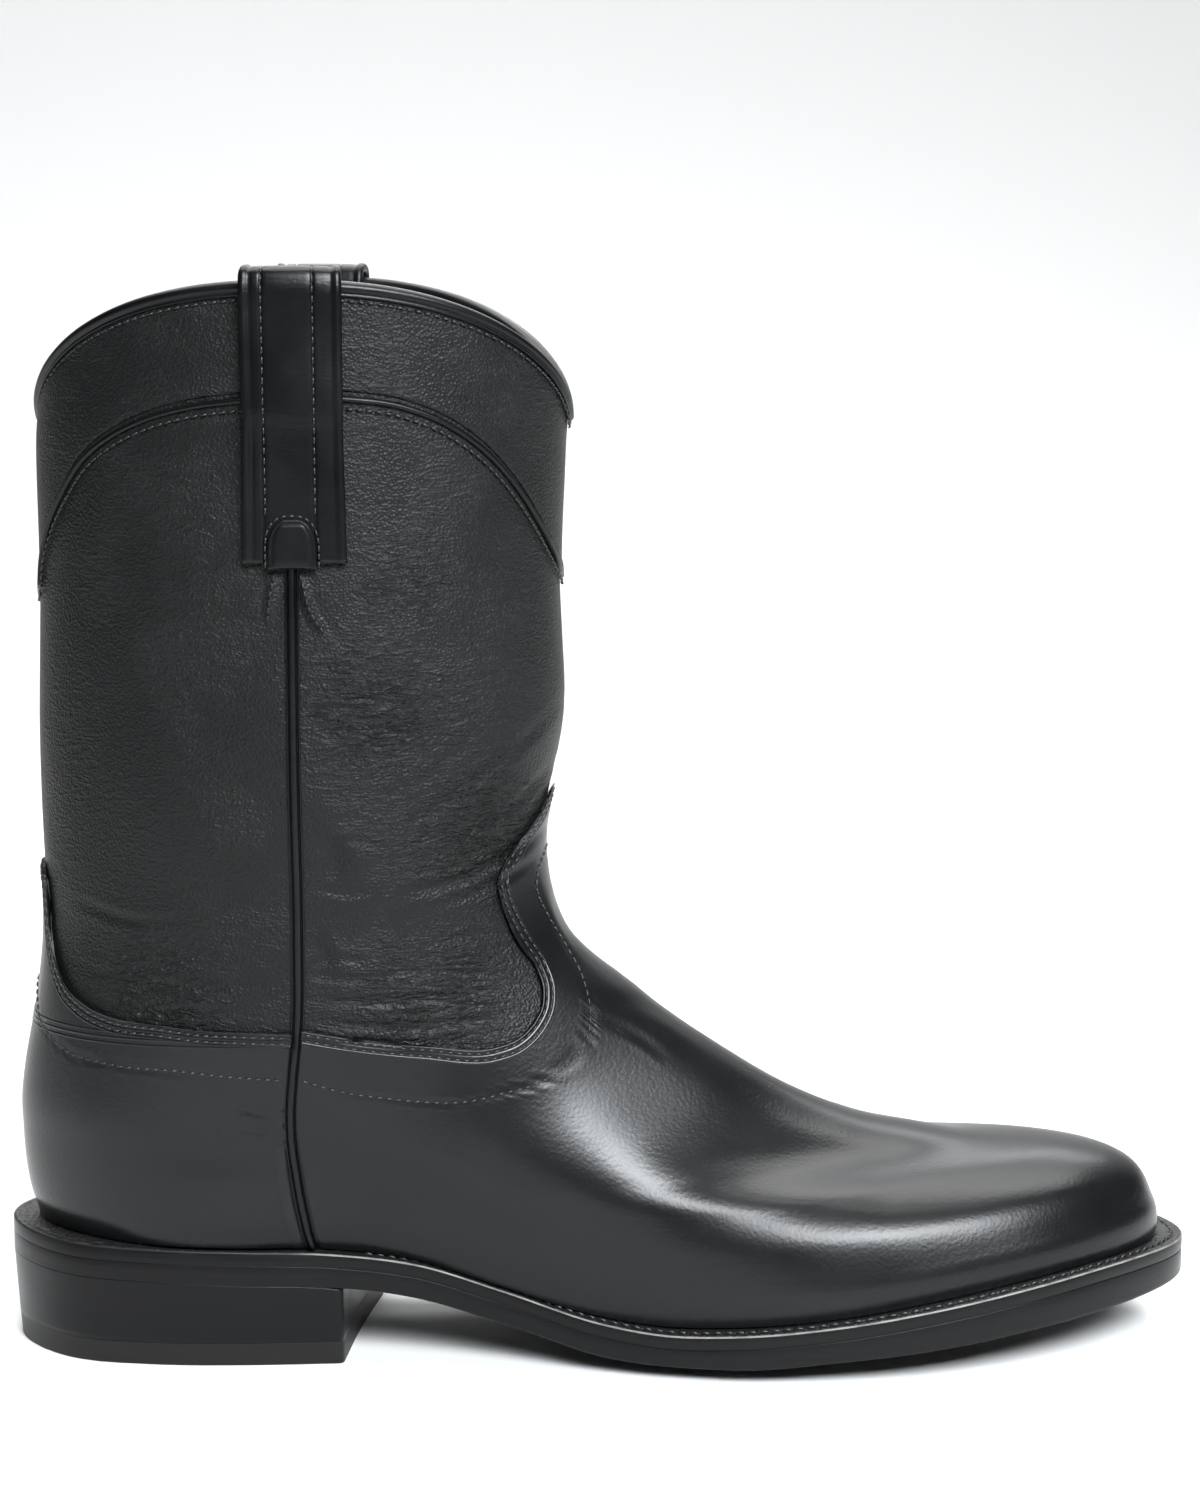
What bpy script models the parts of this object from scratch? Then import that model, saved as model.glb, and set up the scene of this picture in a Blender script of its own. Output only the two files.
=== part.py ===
"""Roper boot for the right foot, as separate solids. Metres, +Z up, toe to +X, lateral side to -Y."""
import bpy
import bmesh
import numpy as np
from math import pi

# Driving sizes
LENGTH = 0.312
HEIGHT = 0.282
SHAFT_WIDTH = 0.091
BALL_WIDTH = 0.1035
SEAT_HEIGHT = 0.0324

GAP = 0.0003
RIM_GAP = 0.0005
WALL = 0.0018
OVERLAY = 0.0014
COLLAR_LAYER = 0.0010
CORD_LAYER = 0.0017
WELT_THICK = 0.0037
EDGE_RISE = 0.0038
CAP_THICK = 0.0060
HEEL_TAPER = 0.0016
INSOLE_THICK = 0.0030

PIPING_WIDTH = 0.0033
CORD_WIDTH = 0.0019
STRAP_WIDTH = 0.0240
STRAP_FLARE = 0.0014
STRAP_THICK = 0.0024
TAB_WIDTH = 0.0122
TAB_THICK = 0.0009

BREAST_X = -0.213 * LENGTH
BREAST_SLOPE = 0.107

# Side outlines are shares of LENGTH (x) and HEIGHT (z), x counted from the middle of the sole

# Sole by station: share of length, lateral and medial width, centre shift (of BALL_WIDTH),
# welt top and sole bottom height (of SEAT_HEIGHT)
SOLE_ROWS = np.array([
    (0.00, 1.082, 1.082, 0.000, 1.000, 0.728),
    (0.04, 1.130, 1.130, 0.000, 0.991, 0.722),
    (0.12, 0.957, 0.928, 0.000, 0.972, 0.704),
    (0.20, 0.807, 0.787, 0.000, 0.954, 0.673),
    (0.28, 0.688, 0.667, 0.000, 0.923, 0.636),
    (0.35, 0.638, 0.580, 0.000, 0.833, 0.500),
    (0.42, 0.660, 0.566, 0.000, 0.642, 0.272),
    (0.50, 0.769, 0.676, 0.000, 0.438, 0.040),
    (0.55, 0.848, 0.795, 0.000, 0.383, 0.000),
    (0.61, 0.938, 0.945, 0.003, 0.402, 0.000),
    (0.70, 1.043, 1.116, 0.010, 0.497, 0.083),
    (0.78, 1.106, 1.235, 0.017, 0.611, 0.157),
    (0.86, 1.128, 1.306, 0.028, 0.719, 0.243),
    (0.92, 1.100, 1.290, 0.036, 0.778, 0.295),
    (0.96, 1.050, 1.225, 0.043, 0.790, 0.322),
    (1.00, 0.990, 1.110, 0.048, 0.784, 0.350),
])

# Upper by ring, collar first: back x, back z, front x, front z, arch of the ring (of HEIGHT),
# how far it follows the welt, lean to the medial side (of BALL_WIDTH),
# then width (of SHAFT_WIDTH) at heel, ankle, waist lateral and medial, ball likewise, toe likewise
UPPER_ROWS = np.array([
    (-0.4576, 0.8644, -0.0279, 0.8644, 0.1193, 0.00, 0.000,
     1.000, 1.000, 1.000, 1.000, 1.000, 1.000, 1.000, 1.000),
    (-0.4630, 0.8191, -0.0305, 0.8191, 0.0740, 0.00, 0.000,
     1.000, 1.000, 1.000, 1.000, 1.000, 1.000, 1.000, 1.000),
    (-0.4630, 0.7270, -0.0335, 0.7270, 0.0390, 0.00, 0.000,
     0.989, 0.989, 0.989, 0.989, 0.989, 0.989, 0.989, 0.989),
    (-0.4660, 0.6241, -0.0310, 0.6170, 0.0140, 0.00, 0.000,
     0.967, 0.967, 0.967, 0.967, 0.967, 0.967, 0.967, 0.967),
    (-0.4665, 0.5248, -0.0445, 0.5140, 0.0000, 0.00, 0.000,
     0.912, 0.934, 0.929, 0.929, 0.923, 0.923, 0.901, 0.901),
    (-0.4654, 0.4504, -0.0474, 0.4504, 0.0000, 0.00, 0.000,
     0.868, 0.885, 0.879, 0.879, 0.868, 0.868, 0.846, 0.846),
    (-0.4660, 0.3830, -0.0263, 0.3794, 0.0000, 0.02, 0.005,
     0.868, 0.857, 0.835, 0.835, 0.813, 0.813, 0.769, 0.769),
    (-0.4728, 0.3191, 0.0221, 0.3305, 0.0000, 0.07, 0.010,
     0.923, 0.857, 0.802, 0.802, 0.780, 0.780, 0.725, 0.725),
    (-0.4814, 0.2660, 0.1109, 0.2599, 0.0000, 0.14, 0.019,
     0.978, 0.835, 0.780, 0.769, 0.758, 0.758, 0.659, 0.681),
    (-0.4856, 0.2305, 0.1971, 0.2089, 0.0000, 0.24, 0.029,
     1.022, 0.808, 0.775, 0.747, 0.791, 0.791, 0.681, 0.725),
    (-0.4853, 0.2021, 0.3045, 0.1829, 0.0000, 0.36, 0.037,
     1.055, 0.786, 0.780, 0.736, 0.824, 0.868, 0.637, 0.681),
    (-0.4840, 0.1755, 0.4029, 0.1734, 0.0000, 0.52, 0.043,
     1.088, 0.769, 0.791, 0.725, 0.923, 0.989, 0.835, 0.923),
    (-0.4817, 0.1543, 0.4520, 0.1564, 0.0000, 0.72, 0.044,
     1.099, 0.747, 0.797, 0.714, 1.022, 1.099, 1.033, 1.187),
    (-0.4788, 0.1383, 0.4702, 0.1234, 0.0000, 0.88, 0.044,
     1.099, 0.725, 0.797, 0.703, 1.077, 1.176, 1.143, 1.330),
    (-0.4756, 0.1270, 0.4737, 0.1046, 0.0000, 0.95, 0.044,
     1.077, 0.692, 0.786, 0.687, 1.088, 1.192, 1.165, 1.352),
    (-0.4737, 0.1160, 0.4718, 0.0918, 0.0000, 1.00, 0.044,
     1.044, 0.659, 0.775, 0.670, 1.077, 1.176, 1.154, 1.341),
])
WIDTH_SHARES = np.array([0.0, 0.08, 0.3, 0.5, 0.72, 0.92, 1.0])
LATERAL_COLUMNS = [7, 7, 8, 9, 11, 13, 13]
MEDIAL_COLUMNS = [7, 7, 8, 10, 12, 14, 14]
ARCH_POWER = 2.33
ARCH_ROOT = 0.515
LEAN_FROM = 0.3
LAST_RING = len(UPPER_ROWS) - 1

# Ring positions and places around that the faceted upper uses
RINGS = np.array([0, 1, 2.2, 3.5, 4.5, 5.3, 6, 6.5, 7, 7.5, 8, 8.5, 9, 9.5, 10, 10.4, 10.8,
                  11.3, 12, 12.6, 13.3, 15])
AROUND = 40
CORD_POINTS = 31
SEAM_POINTS = 17

# Line of the side seam and its piping, top to bottom
PIPING_LINE = np.array([
    (-0.2423, 0.735), (-0.2433, 0.553), (-0.2436, 0.411), (-0.2484, 0.306), (-0.2577, 0.252),
    (-0.2561, 0.215), (-0.2554, 0.189), (-0.2522, 0.166), (-0.2446, 0.141), (-0.2394, 0.112),
])

# Upper edge of the vamp, from the side seam to the tip of the tongue
VAMP_EDGE = [
    (-0.208, 0.299), (-0.146, 0.289), (-0.085, 0.284), (-0.064, 0.291), (-0.046, 0.307), (-0.038, 0.325),
    (-0.0375, 0.343), (-0.046, 0.366), (-0.062, 0.399), (-0.074, 0.432), (-0.076, 0.443),
    (-0.064, 0.468), (-0.048, 0.491), (-0.041, 0.518),
]

# Upper edge of the counter, from the tab at the back to the side seam
COUNTER_EDGE = [
    (-0.466, 0.438), (-0.4615, 0.429), (-0.4605, 0.407), (-0.459, 0.382), (-0.4535, 0.356), (-0.442, 0.333),
    (-0.425, 0.3195), (-0.402, 0.311), (-0.358, 0.3078), (-0.332, 0.305),
]

# Raised seam under the collar, back to front
CORD_EDGE = [
    (-0.4605, 0.700), (-0.457, 0.722), (-0.448, 0.760), (-0.432, 0.796), (-0.410, 0.830), (-0.382, 0.853),
    (-0.350, 0.868), (-0.300, 0.879), (-0.240, 0.884), (-0.190, 0.883), (-0.150, 0.875),
    (-0.122, 0.862), (-0.095, 0.840), (-0.071, 0.808), (-0.051, 0.772), (-0.038, 0.735),
    (-0.0355, 0.712),
]

# Folded edge over the top, as (drop below the rim, distance out from the upper's face)
BINDING_SECTION = np.array([
    (2.4, 1.7), (2.4, 2.3), (0.6, 2.4), (-0.8, 1.9), (-1.3, 0.6), (-1.3, -1.6), (-0.8, -2.5),
    (0.4, -2.9), (2.4, -2.8), (2.4, -2.2), (-0.5, -2.2), (-0.5, 1.7),
]) * 0.001

# Legs of a pull strap: height (of HEIGHT), distance of its near face from the upper's outer face
STRAP_OUTER = [(0.743, 0.0), (0.800, 0.0), (0.860, 0.0001), (0.873, 0.0024), (0.895, 0.0024),
               (0.930, 0.0020), (0.960, 0.0027)]
STRAP_INNER = [(0.960, -0.0033), (0.930, -0.0024), (0.870, -0.0022), (0.800, -0.0022)]
# Over the top: distance out and height above the rim, for the near and the far face
STRAP_CROWN = np.array([
    (2.8, 0.8, 5.0, 1.0), (2.6, 1.6, 4.4, 3.1), (1.6, 2.1, 2.5, 4.3), (0.0, 2.2, 0.0, 4.5),
    (-1.8, 2.1, -2.8, 4.3), (-3.0, 1.6, -5.0, 3.1), (-3.4, 0.8, -5.8, 1.0),
]) * 0.001
# Arched tab: height (of HEIGHT), half width (of TAB_WIDTH)
TAB_ROWS = [(0.735, 0.46), (0.742, 0.50), (0.757, 0.50), (0.768, 0.45), (0.776, 0.32), (0.780, 0.14)]

COLOURS = {
    "shaft": (0.020, 0.022, 0.022),
    "foot": (0.012, 0.012, 0.013),
    "edge": (0.010, 0.010, 0.010),
    "lining": (0.030, 0.028, 0.026),
}


def places_around(count):
    """Places around a ring, closer together along the sides than at the ends."""
    turn = np.arange(count) / count
    return turn + 0.15 * np.sin(4 * pi * turn) / (2 * pi)


# Curves through rows

def cubic_slopes(knots, values):
    step = np.diff(knots)
    slope = np.diff(values, axis=-1) / step
    share = step[1:] / (step[1:] + step[:-1])
    out = np.zeros_like(values)
    out[..., 0] = slope[..., 0]
    out[..., -1] = slope[..., -1]
    out[..., 1:-1] = share * slope[..., :-1] + (1 - share) * slope[..., 1:]
    return out


def cubic(at, knots, values, slopes):
    """Values at the places asked for. Knots run along the last axis of the values."""
    at = np.clip(at, knots[0], knots[-1])
    index = np.clip(np.searchsorted(knots, at, side="right") - 1, 0, len(knots) - 2)
    step = knots[index + 1] - knots[index]
    t = (at - knots[index]) / step

    def pick(table, i):
        return np.take_along_axis(table, i[..., None], -1)[..., 0]

    first = pick(values, index) * (2 * t**3 - 3 * t**2 + 1)
    second = pick(values, index + 1) * (3 * t**2 - 2 * t**3)
    bend = pick(slopes, index) * (t**3 - 2 * t**2 + t) + pick(slopes, index + 1) * (t**3 - t**2)
    return first + second + step * bend


def column(at, rows, knots, number):
    at = np.asarray(at, float)
    values = np.broadcast_to(rows[:, number], at.shape + (len(rows),))
    return cubic(at, knots, values, cubic_slopes(knots, values))


# The sole

def sole_share(x):
    return np.asarray(x) / LENGTH + 0.5


def welt_top(x):
    return column(sole_share(x), SOLE_ROWS, SOLE_ROWS[:, 0], 4) * SEAT_HEIGHT


def sole_bottom(x, across):
    centre = np.maximum(column(sole_share(x), SOLE_ROWS, SOLE_ROWS[:, 0], 5) * SEAT_HEIGHT, 0.0)
    fade = np.clip((np.asarray(x) + 0.225 * LENGTH) / (0.19 * LENGTH), 0, 1)
    return centre + EDGE_RISE * fade * np.clip((np.abs(across) - 0.34) / 0.66, 0, 1) ** 1.6


def sole_sides(share):
    """Lateral and medial y of the sole's edge at a share of its length."""
    knots = SOLE_ROWS[:, 0]
    swell = np.sqrt(np.clip(share * (1 - share), 0, None)) * BALL_WIDTH
    shift = column(share, SOLE_ROWS, knots, 3) * BALL_WIDTH
    lateral = shift - column(share, SOLE_ROWS, knots, 1) * swell
    medial = shift + column(share, SOLE_ROWS, knots, 2) * swell
    return lateral, medial


# The form that upper and overlays share

def ring_row(ring, number):
    return column(ring, UPPER_ROWS, np.arange(len(UPPER_ROWS), dtype=float), number)


def base(ring, around):
    """Point on the upper's outer face. Around runs 0 at the back, lateral side first, 0.5 at the front."""
    ring, around = np.broadcast_arrays(np.asarray(ring, float), np.asarray(around, float))
    share = (1 - np.cos(2 * pi * around)) / 2
    back_x = ring_row(ring, 0) * LENGTH
    front_x = ring_row(ring, 2) * LENGTH
    follow = ring_row(ring, 5)
    x = back_x + (front_x - back_x) * share
    level = (1 - share) * ring_row(ring, 1) + share * ring_row(ring, 3)
    level = level * HEIGHT
    chord = (1 - share) * welt_top(back_x) + share * welt_top(front_x)
    z = level + follow * (welt_top(x) - chord)
    z = np.where(ring >= LAST_RING, welt_top(x) + RIM_GAP, z)
    arch = np.clip(1 - np.abs(2 * share - 1) ** ARCH_POWER, 0, 1) ** ARCH_ROOT
    z = z + ring_row(ring, 4) * HEIGHT * arch
    lateral = np.stack([ring_row(ring, n) for n in LATERAL_COLUMNS], -1)
    medial = np.stack([ring_row(ring, n) for n in MEDIAL_COLUMNS], -1)
    widths = np.where((around <= 0.5)[..., None], lateral, medial)
    width = cubic(share, WIDTH_SHARES, widths, cubic_slopes(WIDTH_SHARES, widths)) * SHAFT_WIDTH
    lean = ring_row(ring, 6) * BALL_WIDTH * np.clip((share - LEAN_FROM) / (1 - LEAN_FROM), 0, 1) ** 1.5
    y = lean - width * np.sin(2 * pi * around) / 2
    return np.stack([x, y, z], -1)


def outward(ring, around):
    """Direction out of the face, level at both rims."""
    ring, around = np.broadcast_arrays(np.asarray(ring, float), np.asarray(around, float))
    e = 1e-3
    low = np.clip(ring - e, 0, LAST_RING - 1e-6)
    high = np.clip(ring + e, 0, LAST_RING - 1e-6)
    down = base(high, around) - base(low, around)
    here = np.minimum(ring, LAST_RING - 1e-6)
    along = base(here, around + e) - base(here, around - e)
    n = np.cross(down, along)
    n /= np.linalg.norm(n, axis=-1, keepdims=True)
    n[..., 2] *= np.clip((LAST_RING - ring) / 1.5, 0, 1) * np.clip(ring / 0.5, 0, 1)
    return n / np.linalg.norm(n, axis=-1, keepdims=True)


def form(ring, around, out):
    direction = outward(ring, around)
    return base(ring, around) + direction * np.broadcast_to(out, direction.shape[:-1])[..., None]


def locate(x, z, medial=False):
    """Ring and place around of the point with this side position."""
    x = np.asarray(x, float)
    z = np.asarray(z, float)
    low = np.zeros(x.shape)
    high = np.full(x.shape, LAST_RING - 1e-6)
    for _ in range(40):
        ring = (low + high) / 2
        around = place_around(ring, x)
        above = base(ring, around)[..., 2] > z
        low = np.where(above, ring, low)
        high = np.where(above, high, ring)
    around = place_around(ring, x)
    return ring, np.where(medial, 1 - around, around)


def place_around(ring, x):
    back_x = ring_row(ring, 0) * LENGTH
    front_x = ring_row(ring, 2) * LENGTH
    share = np.clip((x - back_x) / (front_x - back_x), 0, 1)
    return np.arccos(1 - 2 * share) / (2 * pi)


# Mesh builders

def material(name, colour, roughness):
    mat = bpy.data.materials.new(name)
    mat.use_nodes = True
    shader = mat.node_tree.nodes["Principled BSDF"]
    shader.inputs["Base Color"].default_value = (*colour, 1)
    shader.inputs["Roughness"].default_value = roughness
    return mat


def solid(name, verts, faces, collection, mat=None):
    mesh = bpy.data.meshes.new(name)
    mesh.from_pydata([tuple(v) for v in verts], [], faces)
    obj = bpy.data.objects.new(name, mesh)
    collection.objects.link(obj)
    work = bmesh.new()
    work.from_mesh(mesh)
    bmesh.ops.recalc_face_normals(work, faces=work.faces)
    work.to_mesh(mesh)
    work.free()
    if mat is not None:
        mesh.materials.append(mat)
    return obj


def loop_skin(rows, closed_rows, closed_points):
    """Quads of a grid of points: rows of points, each row open or closed."""
    count, wide = rows
    faces = []
    for i in range(count if closed_rows else count - 1):
        for j in range(wide if closed_points else wide - 1):
            a = i * wide + j
            b = i * wide + (j + 1) % wide
            c = ((i + 1) % count) * wide + (j + 1) % wide
            d = ((i + 1) % count) * wide + j
            faces.append((a, b, c, d))
    return faces


def shell(name, inner, outer, collection, mat=None):
    """Hollow solid between two distances from the form, open at the collar and underneath."""
    around = places_around(AROUND)
    rings = RINGS[:, None]
    skins = [form(rings, around[None, :], d).reshape(-1, 3) for d in (inner, outer)]
    # One closed band per ring: down the outer face, then up the inner face
    count = len(RINGS)
    verts = np.concatenate([skins[1], skins[0]])
    faces = []
    for i in range(count - 1):
        for j in range(AROUND):
            k = (j + 1) % AROUND
            a, b = i * AROUND + j, i * AROUND + k
            c, d = (i + 1) * AROUND + k, (i + 1) * AROUND + j
            # The same diagonal on every skin keeps two layers evenly apart
            for near in ((a, b, c), (a, c, d)):
                faces.append(near)
                faces.append(tuple(count * AROUND + n for n in near[::-1]))
    for i in (0, count - 1):
        for j in range(AROUND):
            k = (j + 1) % AROUND
            a, b = i * AROUND + j, i * AROUND + k
            faces.append((a, b, count * AROUND + b, count * AROUND + a))
    return solid(name, verts, faces, collection, mat)


def prism(name, outline, collection):
    """Side outline in shares of LENGTH and HEIGHT, drawn across the whole boot."""
    n = len(outline)
    reach = BALL_WIDTH
    verts = [(x * LENGTH, y, z * HEIGHT) for y in (-reach, reach) for x, z in outline]
    faces = [tuple(range(n)), tuple(range(2 * n - 1, n - 1, -1))]
    faces += [(i, (i + 1) % n, n + (i + 1) % n, n + i) for i in range(n)]
    return solid(name, verts, faces, collection)


def cut(obj, cutter, operation):
    mod = obj.modifiers.new(operation.lower(), "BOOLEAN")
    mod.operation = operation
    mod.solver = "EXACT"
    mod.object = cutter
    cutter.hide_render = True
    cutter.display_type = "WIRE"


def plate(name, lateral, medial, top, bottom, cells, collection, mat):
    """Plate between two heights. Lateral and medial hold matching edge points, tip to tip."""
    verts = []
    rows = []
    for level in (top, bottom):
        for i in range(len(lateral)):
            ends = 1 if np.allclose(lateral[i], medial[i]) else cells + 1
            row = []
            for j in range(ends):
                c = j / cells
                p = lateral[i] * (1 - c) + medial[i] * c
                row.append(len(verts))
                verts.append((p[0], p[1], float(level(p[0], 2 * c - 1))))
            rows.append(row)
    n = len(lateral)
    faces = []
    for side in (0, 1):
        for i in range(n - 1):
            a, b = rows[side * n + i], rows[side * n + i + 1]
            for j in range(cells):
                quad = [a[min(j, len(a) - 1)], a[min(j + 1, len(a) - 1)],
                        b[min(j + 1, len(b) - 1)], b[min(j, len(b) - 1)]]
                quad = list(dict.fromkeys(quad))
                faces.append(tuple(quad if side == 0 else quad[::-1]))
    for end in (0, -1):
        for i in range(n - 1):
            faces.append((rows[i][end], rows[i + 1][end], rows[n + i + 1][end], rows[n + i][end]))
    for i in (0, n - 1):
        if len(rows[i]) > 1:
            for j in range(cells):
                faces.append((rows[i][j], rows[i][j + 1], rows[n + i][j + 1], rows[n + i][j]))
    return solid(name, verts, faces, collection, mat)


def swept(name, rings, collection, mat, closed):
    """Solid from section loops. Rings has one row of points per section."""
    count, wide = rings.shape[:2]
    faces = loop_skin((count, wide), closed, True)
    if not closed:
        faces += [tuple(range(wide)), tuple(range(count * wide - 1, (count - 1) * wide - 1, -1))]
    return solid(name, rings.reshape(-1, 3), faces, collection, mat)


# Sub-components

def resample(line, count):
    line = np.asarray(line, float) * (LENGTH, HEIGHT)
    run = np.concatenate([[0], np.cumsum(np.linalg.norm(np.diff(line, axis=0), axis=1))])
    at = np.linspace(0, run[-1], count)
    return np.stack([column(at, line, run, 0), column(at, line, run, 1)], -1)


def ribbon(ring, around, section, closed):
    """Sections of (across, out) set along a path on the form."""
    middle = base(ring, around)
    n = outward(ring, around)
    ahead = np.roll(middle, -1, 0) - np.roll(middle, 1, 0)
    if not closed:
        ahead[0] = middle[1] - middle[0]
        ahead[-1] = middle[-1] - middle[-2]
    across = np.cross(n, ahead)
    across /= np.linalg.norm(across, axis=-1, keepdims=True)
    return middle[:, None] + across[:, None] * section[None, :, :1] + n[:, None] * section[None, :, 1:]


def make_upper(col, mats):
    shell("upper", -WALL, 0.0, col, mats["shaft"])


def seam_side(shift, highest):
    """Side outline beside the piping, below a height (of HEIGHT), top to bottom."""
    line = resample(PIPING_LINE, SEAM_POINTS)
    ring, around = locate(line[:, 0], line[:, 1])
    beside = ribbon(ring, around, np.array([(shift, GAP + OVERLAY / 2)]), False)[:, 0]
    x, z = beside[:, 0] / LENGTH, beside[:, 2] / HEIGHT
    start = np.interp(-highest, -z, x)
    return [(start, highest)] + [p for p in zip(x, z) if p[1] < highest - 0.004]


def make_overlay(name, outline, thick, col, tools, mat):
    obj = shell(name, GAP, GAP + thick, col, mat)
    cut(obj, prism(name + "_outline", outline, tools), "INTERSECT")


def make_overlays(col, tools, mats):
    beside = PIPING_WIDTH / 2 + 1.5 * GAP
    low = 0.02
    seam = seam_side(beside, VAMP_EDGE[0][1])
    outline = VAMP_EDGE + [(0.02, 0.535), (0.60, 0.535), (0.60, low), (seam[-1][0], low)] + seam[::-1]
    make_overlay("vamp", outline, OVERLAY, col, tools, mats["foot"])
    seam = seam_side(-beside, COUNTER_EDGE[-1][1])
    outline = [(-0.60, 0.443)] + COUNTER_EDGE + seam
    outline += [(seam[-1][0], low), (-0.60, low)]
    make_overlay("counter", outline, OVERLAY, col, tools, mats["foot"])
    ring, around = cord_path()
    above = ribbon(ring, around, np.array([(CORD_WIDTH / 2 + 2.5 * GAP, GAP + COLLAR_LAYER)]), True)
    edge = [(p[0] / LENGTH, p[2] / HEIGHT) for p in above[:CORD_POINTS + 2, 0]]
    outline = [(-0.60, edge[0][1])] + edge + [(0.15, edge[-1][1]), (0.15, 1.2), (-0.60, 1.2)]
    make_overlay("collar", outline, COLLAR_LAYER, col, tools, mats["shaft"])


def cord_path():
    """Closed path of the raised seam: back, lateral side, front, medial side."""
    half = resample(CORD_EDGE, CORD_POINTS)
    ring, around = locate(half[:, 0], half[:, 1])
    ring = np.concatenate([[ring[0] + 0.05], ring, [ring[-1] + 0.05], ring[::-1]])
    around = np.concatenate([[0.0], around, [0.5], 1 - around[::-1]])
    return ring, around


def make_cord(col, mats, clearance):
    ring, around = cord_path()
    w, h = CORD_WIDTH / 2, CORD_LAYER
    low = -GAP
    section = np.array([(-w, low), (-w, GAP + 0.6 * h), (-0.5 * w, GAP + h), (0.5 * w, GAP + h),
                        (w, GAP + 0.6 * h), (w, low)])
    cord = swept("collar_cord", ribbon(ring, around, section, True), col, mats["shaft"], True)
    cut(cord, clearance, "DIFFERENCE")


def make_binding(col, mats):
    around = places_around(AROUND)
    top = base(0.0, around)
    n = outward(np.zeros(AROUND), around)
    down = np.array((0, 0, -1.0))
    rings = top[:, None] + n[:, None] * BINDING_SECTION[None, :, 1:] + down * BINDING_SECTION[None, :, :1]
    swept("top_binding", rings, col, mats["shaft"], True)


def make_piping(name, medial, col, mats, clearance):
    line = resample(PIPING_LINE, SEAM_POINTS)
    ring, around = locate(line[:, 0], line[:, 1], medial)
    w, h = PIPING_WIDTH / 2, OVERLAY + GAP
    section = np.array([(-w, -GAP), (-w, GAP + 0.7 * h), (-0.5 * w, GAP + h), (0.5 * w, GAP + h),
                        (w, GAP + 0.7 * h), (w, -GAP)])
    piping = swept(name, ribbon(ring, around, section, False), col, mats["shaft"], False)
    cut(piping, clearance, "DIFFERENCE")


def strap_points(x, medial):
    """Near and far face of a strap along its length, at one place across it."""
    near, far = [], []
    for height, out in STRAP_OUTER:
        ring, around = locate(x, height * HEIGHT, medial)
        near.append(form(ring, around, out))
        far.append(form(ring, around, out + STRAP_THICK))
    around = place_around(np.asarray(0.0), x)
    around = np.where(medial, 1 - around, around)
    rim = base(0.0, around)
    n = outward(0.0, around)
    for near_out, near_up, far_out, far_up in STRAP_CROWN:
        near.append(rim + n * near_out + (0, 0, near_up))
        far.append(rim + n * far_out + (0, 0, far_up))
    for height, out in STRAP_INNER:
        ring, around = locate(x, height * HEIGHT, medial)
        near.append(form(ring, around, out))
        far.append(form(ring, around, out - STRAP_THICK))
    return np.array(near), np.array(far)


def strap_half_width(rows):
    legs = np.array([h for h, _ in STRAP_OUTER])
    flare = np.clip((legs[3] - legs) / (legs[3] - legs[0]), 0, 1) * STRAP_FLARE
    rest = np.zeros(rows - len(legs))
    return STRAP_WIDTH / 2 + np.concatenate([flare, rest]) / 2


def make_strap(name, medial, col, mats, clearance):
    middle = PIPING_LINE[0, 0] * LENGTH + 0.0008
    rows = len(STRAP_OUTER) + len(STRAP_CROWN) + len(STRAP_INNER)
    half = strap_half_width(rows)
    across = np.linspace(-1, 1, 3)
    faces = []
    for c in across:
        near, far = strap_points(np.asarray(middle + c * STRAP_WIDTH / 2), medial)
        near[:, 0] += c * (half - STRAP_WIDTH / 2)
        far[:, 0] += c * (half - STRAP_WIDTH / 2)
        faces.append((near, far))
    # Each section runs across the near face and back along the far face
    loops = np.stack([f[0] for f in faces] + [f[1] for f in faces[::-1]], 1)
    strap = swept(name, loops, col, mats["shaft"], False)
    cut(strap, clearance, "DIFFERENCE")


def make_tab(name, medial, col, mats):
    middle = PIPING_LINE[0, 0] * LENGTH + 0.0003
    out = STRAP_OUTER[0][1] + STRAP_THICK + 1.5 * GAP
    across = np.linspace(-1, 1, 3)
    loops = []
    for height, half in TAB_ROWS:
        x = middle + across * half * TAB_WIDTH
        ring, around = locate(x, np.full(3, height * HEIGHT), medial)
        loops.append(np.concatenate([form(ring, around, out), form(ring, around, out + TAB_THICK)[::-1]]))
    swept(name, np.array(loops), col, mats["foot"], False)


def sole_edges(first, last, count, inset=0.0):
    turn = np.linspace(np.arccos(1 - 2 * first), np.arccos(1 - 2 * last), count)
    share = (1 - np.cos(turn)) / 2
    lateral, medial = sole_sides(share)
    middle = (lateral + medial) / 2
    x = (share - 0.5) * LENGTH
    spread = np.maximum(medial - lateral, 1e-9)
    keep = np.clip(1 - 2 * inset / np.maximum(spread, 4 * inset + 1e-9), 0, 1)
    lateral = middle + (lateral - middle) * keep
    medial = middle + (medial - middle) * keep
    return np.stack([x, lateral], -1), np.stack([x, medial], -1)


def make_sole(col, mats):
    lateral, medial = sole_edges(0.0, 1.0, 46)
    lateral[0] = medial[0] = (lateral[0] + medial[0]) / 2
    lateral[-1] = medial[-1] = (lateral[-1] + medial[-1]) / 2
    plate("welt", lateral, medial, lambda x, c: welt_top(x), lambda x, c: welt_top(x) - WELT_THICK,
          2, col, mats["edge"])
    plate("outsole", lateral, medial, lambda x, c: welt_top(x) - WELT_THICK - GAP, sole_bottom,
          6, col, mats["edge"])


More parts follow.
